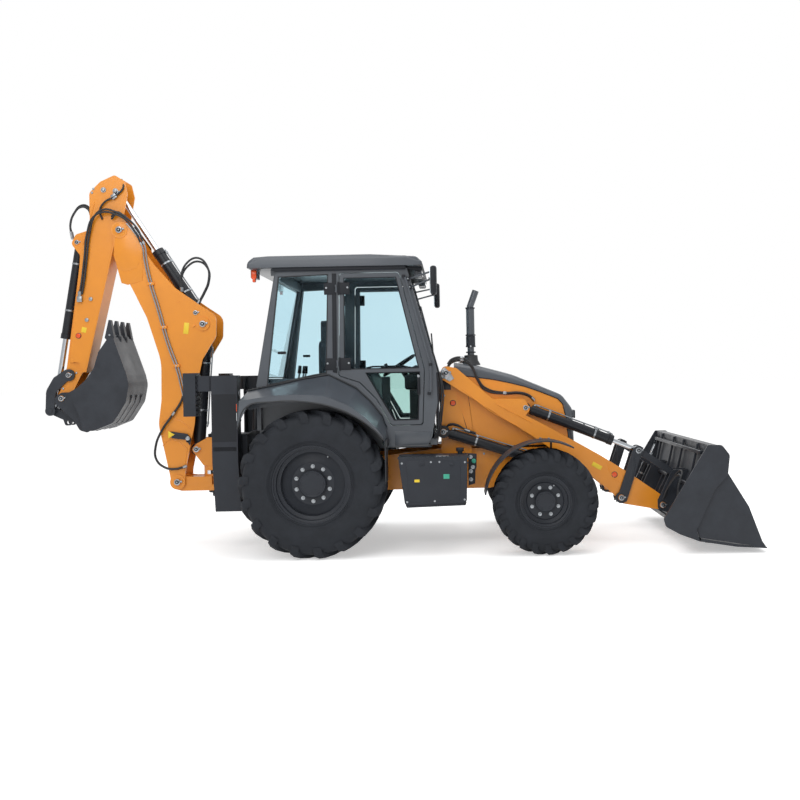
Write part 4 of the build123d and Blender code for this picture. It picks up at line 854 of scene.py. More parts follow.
@dataclass
class Ram:
    """What is fitted to a hydraulic cylinder's barrel: bands, ports, a pipe and the gland."""

    name: str  # of the body it is fitted to
    base: tuple[float, float]  # pin of the barrel, as (x, z)
    eye: tuple[float, float]  # pin of the rod, as (x, z)
    ys: tuple[float, ...]  # middles across the machine
    radius: float  # of the barrel
    length: float  # from the base pin to the barrel's mouth
    bands: tuple[float, ...]  # shares of the way from the rear port to the front one
    up: float = 1.0  # side of the barrel that the pipe runs on, seen in side view
    pipe: float = 7.0  # radius of the steel pipe
    start: float = 0.0  # where the pipe and bands begin, if not right behind the base

    def at(self, distance: float, off: float, y: float) -> tuple[float, float, float]:
        """Find a point beside the cylinder's line.

        Args:
            distance: how far from the base pin.
            off: how far to the pipe's side.
            y: distance across the machine.

        Returns:
            The point.
        """
        run_x, run_z = self.eye[0] - self.base[0], self.eye[1] - self.base[1]
        span = hypot(run_x, run_z)
        ux, uz = run_x / span, run_z / span
        side = self.up * off
        return (self.base[0] + ux * distance - uz * side, y, self.base[1] + uz * distance + ux * side)

    def build(self) -> None:
        """Fit every cylinder of the pair."""
        shape = Shape(ZINC)
        for y in self.ys:
            self.fit(shape, y)
        shape.done(f"{self.name}_fittings", self.name)

    def fit(self, shape: Shape, y: float) -> None:
        """Fit one cylinder.

        Args:
            shape: the fittings' shape.
            y: distance across the machine.
        """
        near, far = self.start or self.radius * 1.7, self.length - self.radius * 0.6
        for share in self.bands:
            place = near + (far - near) * share
            self.ring(shape, place, 9, 3, y, ZINC)
            shape.box_at(self.at(place, self.radius + self.pipe, y), (22, 24, self.pipe * 3.4), ZINC, 2.0)
        line = self.radius + self.pipe + 6
        shape.rod(self.at(near, self.radius - 6, y), self.at(near, line + 4, y), 13, ZINC, HEX, round_mm=1.0)
        shape.rod(self.at(far, self.radius - 2, y), self.at(far, line + 4, y), 13, ZINC, HEX, round_mm=1.0)
        shape.hose([self.at(near, line, y), self.at(near + 60, line + 2, y),
                    self.at((near + far) / 2, line, y), self.at(far - 60, line + 2, y),
                    self.at(far, line, y)], self.pipe)
        for place in (near + 34, far - 34):
            shape.hexagon(self.at(place - 13, line + 1, y), self.at(place + 13, line + 1, y), self.pipe + 5,
                          ZINC)
        gland = self.length - self.radius * 0.9
        self.ring(shape, gland - 4, 3, 6.5, y, BARREL_PAINT)

    def ring(self, shape: Shape, place: float, half: float, proud: float, y: float, finish: Finish) -> None:
        """Clasp the barrel with a ring.

        Args:
            shape: the fittings' shape.
            place: the ring's middle, from the base pin.
            half: half of its width.
            proud: how far it stands off the barrel.
            y: distance across the machine.
            finish: its finish.
        """
        low, high = self.radius - 2, self.radius + proud
        axis = Vector(self.at(1, 0, 0)) - Vector(self.at(0, 0, 0))
        shape.turned([(low, -half), (high - 1, -half), (high, 1 - half), (high, half - 1), (high - 1, half),
                      (low, half)], self.at(place, 0, y), axis, finish, 48)


RAMS = (
    Ram("lift_barrel", LIFT_BASE, LIFT_EYE, (-448, 448), radius=50, length=1180, bands=(0.24, 0.86)),
    Ram("tilt_barrel", TILT_BASE, TILT_EYE, (-448, 448), radius=48, length=930, bands=(0.2, 0.8)),
    Ram("clam_barrel", CLAM_BASE, CLAM_EYE, (-1058, 1058), radius=32, length=345, bands=(0.5,), pipe=5.0),
    Ram("boom_ram_barrel", BOOM_RAM_BASE, BOOM_RAM_EYE, (0,), radius=62, length=1100, bands=(0.2, 0.8),
        up=-1.0, start=240.0),
    Ram("dipper_ram_barrel", DIPPER_RAM_BASE, DIPPER_RAM_EYE, (0,), radius=58, length=790,
        bands=(0.25, 0.8), up=-1.0),
    Ram("hoe_ram_barrel", HOE_RAM_BASE, HOE_RAM_EYE, (0,), radius=50, length=1010, bands=(0.15, 0.7)),
)


@dataclass
class Pins:
    """Heads of the pins at a body's pivots, each a zinc disc held by a bolt."""

    body: str
    heads: tuple[tuple[float, float, float, float], ...]  # x, z, outer face's y on the right, radius

    def build(self) -> None:
        """Make the heads on both sides."""
        shape = Shape(ZINC)
        for x, z, y, radius in self.heads:
            shape.cross((x, z), radius, y + 1, y - 7, ZINC, 36, 1.5)
            shape.cross((x, z), radius * 0.62, y - 6, y - 10, POWDER, 32, 1.0)
            shape.bolt((x, y - 9, z), OUT_RIGHT, radius * 0.3, ZINC)
            shape.box_at((x + radius * 1.15, y - 3, z + radius * 0.2), (radius * 0.9, 8, radius * 0.55),
                         ZINC, 1.5)
            shape.bolt((x + radius * 1.4, y - 6, z + radius * 0.2), OUT_RIGHT, radius * 0.2, ZINC)
        shape.mirror()
        shape.done(f"{self.body}_pin_heads", self.body)


PIN_HEADS = (
    Pins("loader_arms", ((*TILT_BASE, -495, 26), (*LEVER_PIN, -532, 27), (*BUCKET_PIN, -524, 27))),
    Pins("chassis", ((*TOWER_PIN, -508, 32), (*LIFT_BASE, -498, 28))),
    Pins("tilt_levers", ((*TILT_EYE, -524, 30),)),
    Pins("boom", ((*BOOM_HEAD, -172, 34), (*BOOM_RAM_EYE, -172, 33), (*DIPPER_RAM_BASE, -150, 24))),
    Pins("swing_post", ((*BOOM_FOOT, -172, 32), (*BOOM_RAM_BASE, -110, 30))),
    Pins("extension", ((*HOE_PIN, -147, 28), (*IDLER_PIN, -125, 26), (*HOE_RAM_BASE, -98, 24))),
    Pins("dipper", ((*DIPPER_RAM_EYE, -118, 26),)),
)


@dataclass
class Loader:
    """Hoses, plates, reflectors and welds of the loader arms, and the ribs of their levers."""

    face: float = -498.0  # outer face of the right arm
    inner: float = -388.0  # where the hoses run beside the hood
    hose: float = 9.0
    lean: float = 29.8  # fall of the arm's front half, in degrees

    def build(self) -> None:
        """Fit both arms."""
        self.plates()
        self.hoses()
        self.lift_hoses()
        self.lever_ribs()

    def plates(self) -> None:
        """Fit the retainer plate, the label plate, the reflector and the weld lines."""
        shape = Shape(ZINC)
        y = self.face
        shape.plate([(1214, 1668), (1222, 1752), (1262, 1782), (1322, 1718), (1352, 1668), (1306, 1640),
                     (1262, 1668)], y + 1, y - 8, ZINC, 2.0)
        shape.bolts(((1236, 1742), (1300, 1662), (1232, 1690)), y - 8, 11, ZINC, ZINC)
        lean = leaning(self.lean)
        shape.box((2704, y - 2, 752), (2806, y + 1, 794), YELLOW_FILM, 0.6, lean)
        shape.cross((2929, 684), 31, y + 1, y - 1.5, POWDER, 40, 0.5)
        shape.cross((2929, 684), 25, y - 1, y - 3, AMBER_LENS, 40, 1.0)
        shape.wire([(2862, y, 806), (2872, y, 742), (2884, y, 712), (2930, y, 640), (3010, y, 596),
                    (3084, y, 538)], 3.0, ENAMEL)
        shape.wire([(1430, y, 1560), (1700, y, 1342), (1990, y, 1172)], 4.0, ENAMEL)
        shape.wire([(1760, y, 1412), (1800, y, 1388), (2120, y, 1214)], 4.5, ENAMEL)
        for x, z in ((1700, 1448), (2380, 1070)):
            shape.box_at((x, y + 60, z + 22), (46, 20, 26), POWDER, 2.0, self.lean)
        shape.mirror()
        shape.done("loader_arm_plates", "loader_arms")

    def hoses(self) -> None:
        """Lead two hoses over the cowl, down the arm's inner side and on to the tilt cylinder."""
        shape = Shape(HOSE)
        y = self.inner
        for lift, off in ((0.0, 0.0), (24.0, -21.0)):
            shape.hose([(1290, y - 60 + off, 1790 + lift), (1330, y - 50 + off, 1836 + lift),
                        (1435, y - 40 + off, 1852 + lift), (1530, y - 30 + off, 1776 + lift),
                        (1590, y - 10 + off / 3, 1640 + lift), (1660, y + 1 + off / 9, 1548 + lift),
                        (1860, y + 1, 1505 + lift / 2), (2010, y - 2 + off, 1504 + lift / 2),
                        (2100, y - 2 + off, 1476 + lift / 2), (2148, y + off, 1436 + lift / 3)], self.hose,
                       HOSE, 5)
            shape.hexagon((2128, y - 2 + off, 1455 + lift / 2.4), (2156, y + off, 1428 + lift / 3), 13, ZINC)
            for x, yy, z in ((1435, y - 40 + off, 1852 + lift), (1860, y + 1, 1505 + lift / 2)):
                shape.rod((x - 16, yy, z), (x + 16, yy, z), self.hose + 3.5, ZINC, 16, round_mm=1.0)
        shape.mirror()
        shape.done("loader_arm_hoses", "loader_arms", angle=40.0)

    def lift_hoses(self) -> None:
        """Loop the lift cylinders' hoses over their base ends."""
        shape = Shape(HOSE)
        for off in (0.0, 22.0):
            y = -420 - off
            shape.hose([(1262, y - 10, 1186), (1306, y - 30, 1204 + off / 2), (1372, y - 30, 1196 + off / 2),
                        (1450, y - 26, 1160), (1560, y - 22, 1118)], 9)
            shape.hexagon((1448, y - 26, 1161), (1500, y - 24, 1141), 13, ZINC)
        shape.mirror()
        shape.done("lift_hoses", "lift_barrel", angle=40.0)

    def lever_ribs(self) -> None:
        """Weld a rib along both faces of each tilt lever."""
        shape = Shape(BUCKET_STEEL)
        for y in (-524, -372):
            shape.plate([(3120, 880), (3140, 760), (3096, 610), (3060, 610), (3100, 760), (3092, 880)],
                        y + 8, y - 2, BUCKET_STEEL, 2.0)
        shape.mirror()
        shape.done("lever_ribs", "tilt_levers")


@dataclass
class BucketGear:
    """Stiffeners, edges and bolts of the loader bucket."""

    half: float = 1122.0
    bolts: int = 9

    def build(self) -> None:
        """Fit the rear half and the clam."""
        shape = Shape(ZINC)
        for i in range(self.bolts):
            y = -self.half + 90 + i * (2 * self.half - 180) / (self.bolts - 1)
            shape.bolt((4020, y, 80), (-0.12, 0, 1), 16, ZINC)
        shape.plate([(3660, 100), (3980, 62), (3990, 78), (3672, 118)], -self.half + 26, self.half - 26,
                    BUCKET_STEEL, 2.0)
        shape.done("clam_edge_bolts", "bucket_clam")
        shape = Shape(BUCKET_STEEL)
        for y in (-760, -210, 210, 760):
            shape.plate([(3704, 1000), (3640, 720), (3500, 440), (3478, 300), (3468, 330), (3484, 450),
                         (3620, 740), (3682, 1000)], y - 9, y + 9, BUCKET_STEEL, 2.0)
        for z, x in ((930, 3672), (620, 3575)):
            shape.box((x - 22, -985, z - 16), (x + 6, 985, z + 16), BUCKET_STEEL, 5.0)
        shape.hose([(3484, -968, 420), (3446, -950, 520), (3500, -860, 700), (3430, -620, 560),
                    (3400, -520, 430)], 9, HOSE)
        shape.hose([(3504, -964, 470), (3456, -940, 560), (3520, -830, 740), (3450, -600, 590),
                    (3420, -515, 450)], 9, HOSE)
        for y in (-968, 968):
            shape.hexagon((3486, y, 400), (3486, y, 432), 15, ZINC)
        shape.done("bucket_back_ribs", "loader_bucket")


@dataclass
class Cab:
    """Roof, lamps, seals, handles, hinges, stays and trim round the cab."""

    face: float = -750.0  # outer face of the right side frame
    seal: float = 8.0  # radius of the rubber round each pane
    hinges: tuple[float, ...] = (1830, 2560)  # heights of the doors' and rear windows' hinges
    window: tuple[Point, ...] = ((-327, 2681), (150, 2697), (118, 1745), (0, 1728), (-205, 1686),
                                 (-455, 1640))
    upper: tuple[Point, ...] = ((306, 2660), (806, 2660), (1012, 1780), (296, 1780))
    lower: tuple[Point, ...] = ((500, 1740), (1020, 1740), (1000, 1280), (768, 1280), (640, 1500))
    cover: tuple[Point, ...] = ((-622, 2826), (-606, 2756), (-380, 2764), (880, 2770), (1058, 2756),
                                (1070, 2800), (1010, 2858), (560, 2884), (-420, 2882), (-560, 2872))

    def build(self) -> None:
        """Fit everything outside the cab."""
        self.roof()
        self.lamps()
        self.seals()
        self.outside()
        for side in Side:
            self.door(side)
            self.mirror_head(side)

    def roof(self) -> None:
        """Lay the moulded cover over the roof, with its ribs, brow, gutters and beacon stud."""
        shape = Shape(SHEEN_PANEL)
        shape.plate(self.cover, -800, 800, SHEEN_PANEL, 26.0)
        shape.box((-480, -640, 2866), (760, 640, 2892), SHEEN_PANEL, 14.0)
        shape.plate([(860, 2772), (1058, 2772), (1066, 2728), (1040, 2716), (905, 2740)], -730, 730,
                    POLYETHYLENE, 10.0)
        shape.rod((572, -400, 2886), (572, -400, 2926), 26, POLYETHYLENE, 28, 18, 3.0)
        for x in (-420, -100, 220, 540):
            shape.box((x, -560, 2890), (x + 60, 560, 2898), SHEEN_PANEL, 3.0)
        for y in (-776, 776):
            shape.box((-380, y - 14, 2735), (905, y + 14, 2772), POLYETHYLENE, 8.0)
        shape.done("roof_cover", "chassis")

    def lamps(self) -> None:
        """Put lenses and rims on the work lamps under both overhangs, and amber lamps at the rear corners."""
        shape = Shape(CLEAR_LENS)
        for y in (-630, -450, 450, 630):
            shape.box((1046, y - 66, 2684), (1056, y + 66, 2764), POLYETHYLENE, 3.0)
            shape.box((1054, y - 56, 2692), (1060, y + 56, 2756), CLEAR_LENS, 3.0)
            for x in (992, 1010, 1028):
                shape.box((x, y - 74, 2686), (x + 6, y + 74, 2762), POLYETHYLENE, 1.5)
        for y in (-630, 630):
            shape.box((-606, y - 62, 2684), (-598, y + 62, 2762), POLYETHYLENE, 2.0)
            shape.box((-609, y - 52, 2694), (-604, y + 52, 2752), CLEAR_LENS, 2.0)
            out = -1 if y < 0 else 1
            shape.box((-598, y + out * 68, 2674), (-548, y + out * 84, 2756), AMBER_LENS, 6.0)
            shape.box((-586, y + out * 50, 2640), (-556, y + out * 92, 2682), AMBER_LENS, 8.0)
        shape.done("roof_lamps", "chassis")

    def seals(self) -> None:
        """Run rubber seals round the fixed windows, and lay the wiper over the windscreen."""
        shape = Shape(HOSE)
        shape.wire([(x, self.face + 2, z) for x, z in self.window], self.seal, HOSE, True)
        shape.mirror()
        shape.wire([(912, -692, 2684), (912, 692, 2684), (1152, 692, 1736), (1152, 692, 1100),
                    (1152, -692, 1100), (1152, -692, 1736)], self.seal, HOSE, True)
        shape.wire([(-376, -622, 2648), (-376, 622, 2648), (-541, 622, 1712), (-541, -622, 1712)],
                   self.seal, HOSE, True)
        shape.hose([(1132, -60, 1760), (1136, 40, 1900), (1118, 210, 2150)], 8)
        shape.box((1080, 80, 1880), (1090, 110, 2420), HOSE, 3.0, Matrix.Rotation(-0.24, 4, "Y"))
        shape.done("window_seals", "chassis", angle=40.0)

    def outside(self) -> None:
        """Fit the hinge plates, latch, post cover, sill, stay clamps, grab rail and hoses outside the cab."""
        shape = Shape(POLYETHYLENE)
        y = self.face
        for z in self.hinges:
            shape.box((112, y - 9, z - 58), (226, y + 1, z + 58), POLYETHYLENE, 6.0)
            shape.bolt((134, y - 9, z + 8), OUT_RIGHT, 7, ZINC, ZINC)
        shape.box((-346, y - 20, 1936), (-266, y + 6, 1962), POLYETHYLENE, 6.0)
        shape.rod((-306, y - 26, 1949), (-306, y - 4, 1949), 15, POLYETHYLENE, 24, round_mm=3.0)
        shape.plate([(190, 2706), (232, 2706), (224, 1742), (182, 1752)], y - 7, y + 1, POLYETHYLENE, 3.0)
        shape.plate([(772, 1168), (1128, 1160), (1090, 1040), (772, 1034)], y - 8, y + 1, SHEEN_PANEL, 4.0)
        for x, z in ((884, 2665), (1110, 1530), (1128, 1810)):
            shape.box((x - 16, y - 58, z - 14), (x + 16, y + 1, z + 14), POLYETHYLENE, 5.0)
        for z in (2640, 2560):
            x = 905 + (2747 - z) * 0.2
            shape.box((x - 18, y - 26, z - 20), (x + 18, y + 2, z + 20), POLYETHYLENE, 5.0)
            shape.bolt((x, y - 26, z), OUT_RIGHT, 8, ZINC)
        shape.wire([(1150, y + 30, 1090), (1192, y + 10, 1180), (1196, y + 6, 1480), (1188, y + 6, 1730)],
                   10, POLYETHYLENE)
        shape.hose([(1204, y + 60, 1740), (1226, y + 90, 1600), (1216, y + 80, 1380), (1192, y + 60, 1180),
                    (1150, y + 60, 1050)], 10, HOSE)
        shape.hose([(1216, y + 84, 1730), (1244, y + 112, 1560), (1230, y + 100, 1340), (1200, y + 80, 1150),
                    (1158, y + 80, 1046)], 8, HOSE)
        shape.mirror()
        shape.done("cab_trim", "chassis")

    def door(self, side: Side) -> None:
        """Fit one door's seals, handle, hinge leaves and inner pull.

        Args:
            side: the side of the machine.
        """
        shape = Shape(POLYETHYLENE)
        y = self.face
        shape.wire([(x, y + 3, z) for x, z in self.upper], self.seal, POLYETHYLENE, True)
        shape.wire([(x, y + 3, z) for x, z in self.lower], self.seal, POLYETHYLENE, True)
        shape.box((996, y - 22, 1520), (1024, y + 1, 1690), POLYETHYLENE, 8.0)
        shape.box((1002, y - 38, 1540), (1018, y - 16, 1668), POLYETHYLENE, 7.0)
        shape.rod((1010, y - 26, 1700), (1010, y, 1700), 13, ZINC, round_mm=2.0)
        for z in self.hinges:
            shape.box((256, y - 14, z - 58), (360, y + 1, z + 58), POLYETHYLENE, 6.0)
            shape.rod((252, y - 12, z - 64), (252, y - 12, z + 64), 9, POLYETHYLENE, round_mm=2.0)
            shape.bolt((340, y - 14, z + 8), OUT_RIGHT, 7, ZINC, ZINC)
        shape.wire([(520, y + 62, 1790), (560, y + 92, 1800), (860, y + 92, 1800), (900, y + 62, 1790)], 9,
                   POLYETHYLENE)
        shape.settle(side)
        shape.done(f"door_{side.word}_fittings", f"door_{side.word}")

    def mirror_head(self, side: Side) -> None:
        """Put the moulded housing and its glass over a mirror's block.

        Args:
            side: the side of the machine.
        """
        shape = Shape(POLYETHYLENE)
        shape.box((1144, -926, 2472), (1206, -824, 2748), POLYETHYLENE, 22.0)
        shape.box((1138, -914, 2488), (1146, -836, 2732), MIRROR, 3.0)
        shape.rod((1170, -880, 2625), (1128, -880, 2625), 16, POLYETHYLENE, round_mm=3.0)
        shape.settle(side)
        shape.done(f"mirror_{side.word}", "chassis")


@dataclass
class Cabin:
    """Cushions, wheel, levers and dash inside the cab."""

    wheel_at: tuple[float, float, float] = (780.0, 0.0, 1815.0)  # middle of the steering wheel
    wheel_radius: float = 185.0
    grip: float = 15.0  # radius of its grip
    lean: float = -33.0  # of its column, in degrees

    def build(self) -> None:
        """Make the cushions and the controls."""
        self.cushion("seat_base_cushion", (40, -256, 1440), (560, 256, 1568), "Z", 26.0)
        self.cushion("seat_back_cushion", (-30, -250, 1560), (150, 250, 2080), "X", 30.0)
        self.cushion("seat_head_cushion", (-16, -150, 2090), (118, 150, 2290), "X", 20.0)
        self.cushion("armrest_cushion_right", (130, -330, 1720), (440, -262, 1778), "Z", 8.0)
        self.cushion("armrest_cushion_left", (130, 262, 1720), (440, 330, 1778), "Z", 8.0)
        self.controls()

    def cushion(self, name: str, low: Point, high: Point, crown: str, height: float) -> None:
        """Make one closed, crowned cushion from a box that is divided, crowned and smoothed.

        Args:
            name: the piece's name.
            low: one corner.
            high: the other corner.
            crown: axis that the cushion bulges along, X or Z.
            height: how far its middle stands out.
        """
        shape = Shape(CLOTH)
        a, b = Vector(low), Vector(high)
        matrix = Matrix.Translation((a + b) / 2) @ Matrix.Diagonal((*[abs(v) for v in (b - a)], 1.0))
        bmesh.ops.create_cube(shape.mesh, size=1.0, matrix=matrix)
        bmesh.ops.subdivide_edges(shape.mesh, edges=shape.mesh.edges[:], cuts=4, use_grid_fill=True)
        across = 0 if crown == "X" else 2
        middle, size = (a + b) / 2, b - a
        for vert in shape.mesh.verts:
            share = 1.0
            for axis in range(3):
                if axis != across:
                    share *= max(0.0, 1.0 - (2 * (vert.co[axis] - middle[axis]) / size[axis]) ** 2)
            outer = vert.co[across] > middle[across]
            vert.co[across] += height * share ** 0.6 if outer else -height * 0.25 * share
        piece = shape.done(name, "chassis", angle=60.0)
        smooth = piece.modifiers.new("smooth", "SUBSURF")
        smooth.levels = smooth.render_levels = 2

    def controls(self) -> None:
        """Make the steering wheel's grip, the levers, the pedals, the dash and the screen."""
        shape = Shape(POLYETHYLENE)
        lean = radians(self.lean)
        axis = (sin(lean), 0.0, cos(lean))
        turns = [2 * pi * i / 12 for i in range(12)]
        grip = [(self.wheel_radius + self.grip * cos(a), self.grip * sin(a)) for a in turns]
        shape.turned(grip, self.wheel_at, axis, POLYETHYLENE, 64)
        hub = Vector(self.wheel_at)
        shape.rod(hub - Vector(axis) * 12, hub + Vector(axis) * 16, 48, POLYETHYLENE, 32, 40, 4.0)
        shape.rod(hub + Vector((-110, 60, -60)), hub + Vector((-150, 60, 20)), 18, POLYETHYLENE, round_mm=5.0)
        shape.box((840, -130, 1560), (1010, 130, 1720), POLYETHYLENE, 26.0)
        shape.box((880, -110, 1700), (1000, 110, 1800), POLYETHYLENE, 22.0, leaning(-28))
        shape.box((900, 150, 1560), (1090, 320, 1640), POLYETHYLENE, 20.0)
        for yy in (-290, -330):
            shape.wire([(420, yy, 1440), (440, yy, 1600), (470, yy, 1740)], 8, ZINC)
            shape.rod((468, yy, 1730), (482, yy, 1800), 20, POLYETHYLENE, 20, 14, 5.0)
        for yy, xx in ((-210, -260), (-130, -270), (130, -270), (210, -260)):
            shape.hose([(xx, yy, 1240), (xx - 20, yy, 1500), (xx + 30, yy, 1760)], 9, ZINC)
            shape.rod((xx + 28, yy, 1750), (xx + 36, yy, 1830), 19, POLYETHYLENE, 20, 15, 5.0)
        shape.box((-330, -300, 1035), (-210, 300, 1250), POLYETHYLENE, 20.0)
        for yy in (-120, -40, 120):
            shape.box((1040, yy - 30, 1060), (1056, yy + 30, 1160), POLYETHYLENE, 6.0,
                      Matrix.Rotation(0.5, 4, "Y"))
        shape.box((1010, -420, 2290), (1040, -300, 2400), POLYETHYLENE, 10.0)
        shape.box((-40, -262, 1400), (560, 262, 1444), POLYETHYLENE, 14.0)
        shape.box((90, -200, 1040), (450, 200, 1120), POLYETHYLENE, 12.0)
        for i in range(7):
            shape.box((100 + i * 2, -206 + i * 3, 1130 + i * 40), (440 - i * 2, 206 - i * 3, 1156 + i * 40),
                      POLYETHYLENE, 9.0)
        shape.done("cab_controls", "chassis", angle=40.0)


@dataclass
class Body:
    """Trim of the hood, mudguards, exhaust, boxes and chassis."""

    box_face: float = -990.0  # outer face of the right tool box
    fender_face: float = -1080.0
    cowl_face: float = -392.0
    stack: tuple[float, float] = (1529.0, -230.0)  # middle of the exhaust, as (x, y)
    lip: float = 570.0  # radius of the front mudguards' rolled lip

    def build(self) -> None:
        """Fit each piece of the body."""
        self.boxes()
        self.fenders()
        self.exhaust()
        self.hood()
        self.chassis()
        for side in Side:
            self.front_guard(side)

    def boxes(self) -> None:
        """Fit lids, latches, labels, the filler and the black bracket ahead of each box."""
        shape = Shape(POWDER)
        y = self.box_face
        shape.box((806, y + 4, 918), (1474, -630, 938), POWDER, 6.0)
        shape.plate([(884, 900), (1400, 900), (1392, 522), (912, 510)], y + 1, y - 3, POWDER, 2.0)
        shape.bolts(((846, 880), (1440, 882), (1432, 530), (890, 516), (1120, 888), (1200, 888),
                     (1150, 520)), y - 2, 7, ZINC, ZINC)
        for x in (1010, 1290):
            shape.box((x, y - 12, 858), (x + 46, y, 884), POWDER, 4.0)
        shape.box((1236, y - 4.5, 728), (1292, y - 2, 772), GREEN_FILM, 0.5)
        shape.box((962, y - 4.5, 700), (1010, y - 2, 726), YELLOW_FILM, 0.5)
        shape.rod((1397, -700, 934), (1397, -700, 962), 24, POWDER, 28, round_mm=3.0)
        shape.rod((1397, -700, 960), (1397, -700, 996), 38, POWDER, 12, round_mm=5.0)
        shape.box((1170, y + 12, 936), (1288, y + 92, 944), ZINC, 2.0)
        shape.plate([(1476, 938), (1560, 930), (1556, 800), (1544, 760), (1540, 640), (1476, 620)], -652,
                    -640, POWDER, 3.0)
        shape.bolts(((1500, 900), (1500, 680), (1520, 800), (1500, 760)), -652, 14, ZINC, ZINC)
        shape.box((1480, -640, 660), (1536, -540, 900), POWDER, 10.0)
        shape.rod((1530, -644, 860), (1530, -672, 860), 22, GREEN_FILM, 28, round_mm=3.0)
        shape.plate([(872, 484), (1450, 500), (1440, 470), (884, 456)], y + 30, -660, POWDER, 4.0)
        for x in range(900, 1420, 40):
            shape.box((x, y - 2, 928), (x + 16, y + 40, 942), POWDER, 2.0)
        shape.mirror()
        shape.done("side_box_fittings", "chassis")

    def fenders(self) -> None:
        """Run a rubber lip round each arch, and fit the tail lamps and the plates ahead of the wheel."""
        shape = Shape(HOSE)
        y = self.fender_face
        shape.hose([(-676, y + 6, 1240), (-590, y + 6, 1440), (-347, y + 6, 1486), (-6, y + 6, 1476),
                    (254, y + 6, 1414), (436, y + 6, 1326), (600, y + 6, 1204), (690, y + 6, 1110)], 9,
                   HOSE, 8)
        shape.box((-688, y + 40, 1300), (-668, y + 150, 1480), HOSE, 8.0)
        shape.box((-694, y + 50, 1400), (-684, y + 140, 1470), AMBER_LENS, 3.0)
        shape.box((-694, y + 50, 1312), (-684, y + 140, 1388), CLEAR_LENS, 3.0)
        shape.wire([(-640, -756, 1592), (-360, -756, 1643), (-128, -756, 1692), (140, -756, 1731),
                    (402, -756, 1600), (545, -756, 1462), (648, -756, 1327)], 8, HOSE)
        shape.box((700, -1060, 1040), (716, -760, 1110), HOSE, 5.0)
        shape.box((690, -1040, 700), (702, -780, 1050), HOSE, 4.0)
        shape.mirror()
        shape.done("fender_trim", "chassis", angle=40.0)

    def exhaust(self) -> None:
        """Put a rubber boot, collars, a sleeve and its clamp bolt on the stack."""
        shape = Shape(POWDER)
        x, y = self.stack
        centre = (x, y, 0.0)
        shape.turned([(50, 1816), (96, 1800), (92, 1816), (72, 1850), (68, 1900), (54, 1904), (54, 1880)],
                     centre, (0, 0, 1), HOSE, 48)
        for z, rim in ((1925, 48), (1985, 50), (2100, 50), (2376, 47)):
            shape.turned([(30, z), (rim, z), (rim + 2, z + 6), (rim, z + 14), (30, z + 14)], centre, UP,
                         POWDER, 48)
        shape.turned([(42, 1996), (47, 2000), (47, 2092), (42, 2098)], centre, UP, POWDER, 48)
        shape.bolt((x, y - 52, 1992), OUT_RIGHT, 9, ZINC)
        shape.done("exhaust_fittings", "chassis", angle=36.0)

    def hood(self) -> None:
        """Fit the grille's mesh, the lamps' lenses, the seam's strip and the latch."""
        shape = Shape(POLYETHYLENE)
        for i in range(21):
            y = -240 + i * 24
            shape.box((2540, y - 2, 1052), (2547, y + 2, 1240))
        for y in (-255, 255):
            shape.box((2556, y - 66, 1244), (2572, y + 66, 1326), POLYETHYLENE, 5.0)
            shape.box((2566, y - 56, 1254), (2574, y + 56, 1316), CLEAR_LENS, 4.0)
        for y in (-380, 380):
            shape.wire([(1472, y, 1690), (1742, y, 1652), (1905, y, 1616), (2065, y, 1574), (2240, y, 1510),
                        (2392, y, 1446), (2440, y, 1392), (2470, y, 1260), (2498, y, 990)], 5, POLYETHYLENE)
            shape.box((2360, y - 6, 1000), (2440, y + 6, 1030), POLYETHYLENE, 4.0)
            shape.box((1600, y - 5, 1010), (1680, y + 5, 1036), POLYETHYLENE, 4.0)
        shape.box((1400, -30, 1822), (1470, 30, 1834), POLYETHYLENE, 5.0)
        shape.done("hood_fittings", "hood", angle=36.0)

    def chassis(self) -> None:
        """Fit the cowl's plates and reflectors, bolts, the axles' details, the shaft and the gearbox."""
        shape = Shape(AMBER_LENS)
        face = self.cowl_face
        shape.reflector((1337, 1422), face, 30, 24, BARREL_PAINT)
        shape.wire([(1392, face + 12, 1420), (1460, face + 14, 1200), (1490, face + 14, 1090)], 4,
                   BARREL_PAINT)
        shape.bolts(((1300, 1600), (1420, 1040), (1250, 1500), (1240, 820), (1480, 820)), face, 10, ZINC)
        shape.plate([(1352, 976), (1500, 976), (1500, 984), (1352, 984)], face, face - 5, ENAMEL)
        shape.box((1214, -404, 1556), (1318, -392, 1648), BARREL_PAINT, 4.0)
        shape.plate([(1296, 1560), (1474, 1560), (1474, 1682), (1400, 1712), (1330, 1770), (1296, 1776)],
                    -376, -368, ENAMEL, 2.0)
        shape.bolts(((2150, 905), (1900, 905), (1640, 905), (900, 870), (1080, 900)), -365, 12, ZINC)
        axle, level = FRONT_AXLE
        shape.rod((axle, -600, 625), (axle, -600, 380), 58, ENAMEL, 36, round_mm=6.0)
        for x in (axle - 34, axle + 34):
            shape.bolt((x, -735, 638), UP, 11, ZINC)
        shape.cross((axle - 130, level), 20, -640, 640, BARREL_PAINT)
        shape.cross((axle - 130, level), 38, -260, 260, BARREL_PAINT, 32, 3.0)
        axle, level = REAR_AXLE
        shape.rod((axle + 120, -190, level), (axle + 120, -250, level), 150, BARREL_PAINT, 48, 110, 6.0)
        ring = [2 * pi * i / 10 for i in range(10)]
        shape.bolts([(axle + 130 * cos(a), level + 130 * sin(a)) for a in ring], -214, 12, ZINC)
        shape.mirror()
        shape.rod((2100, 0, 520), (1150, 0, 660), 32, BARREL_PAINT, 28)
        for x, z in ((2090, 522), (1160, 659)):
            shape.rod((x - 26, 0, z + 4), (x + 26, 0, z - 4), 62, BARREL_PAINT, 28, round_mm=5.0)
        shape.box((1170, -300, 620), (1500, 300, 830), BARREL_PAINT, 20.0)
        shape.done("chassis_fittings", "chassis", angle=36.0)

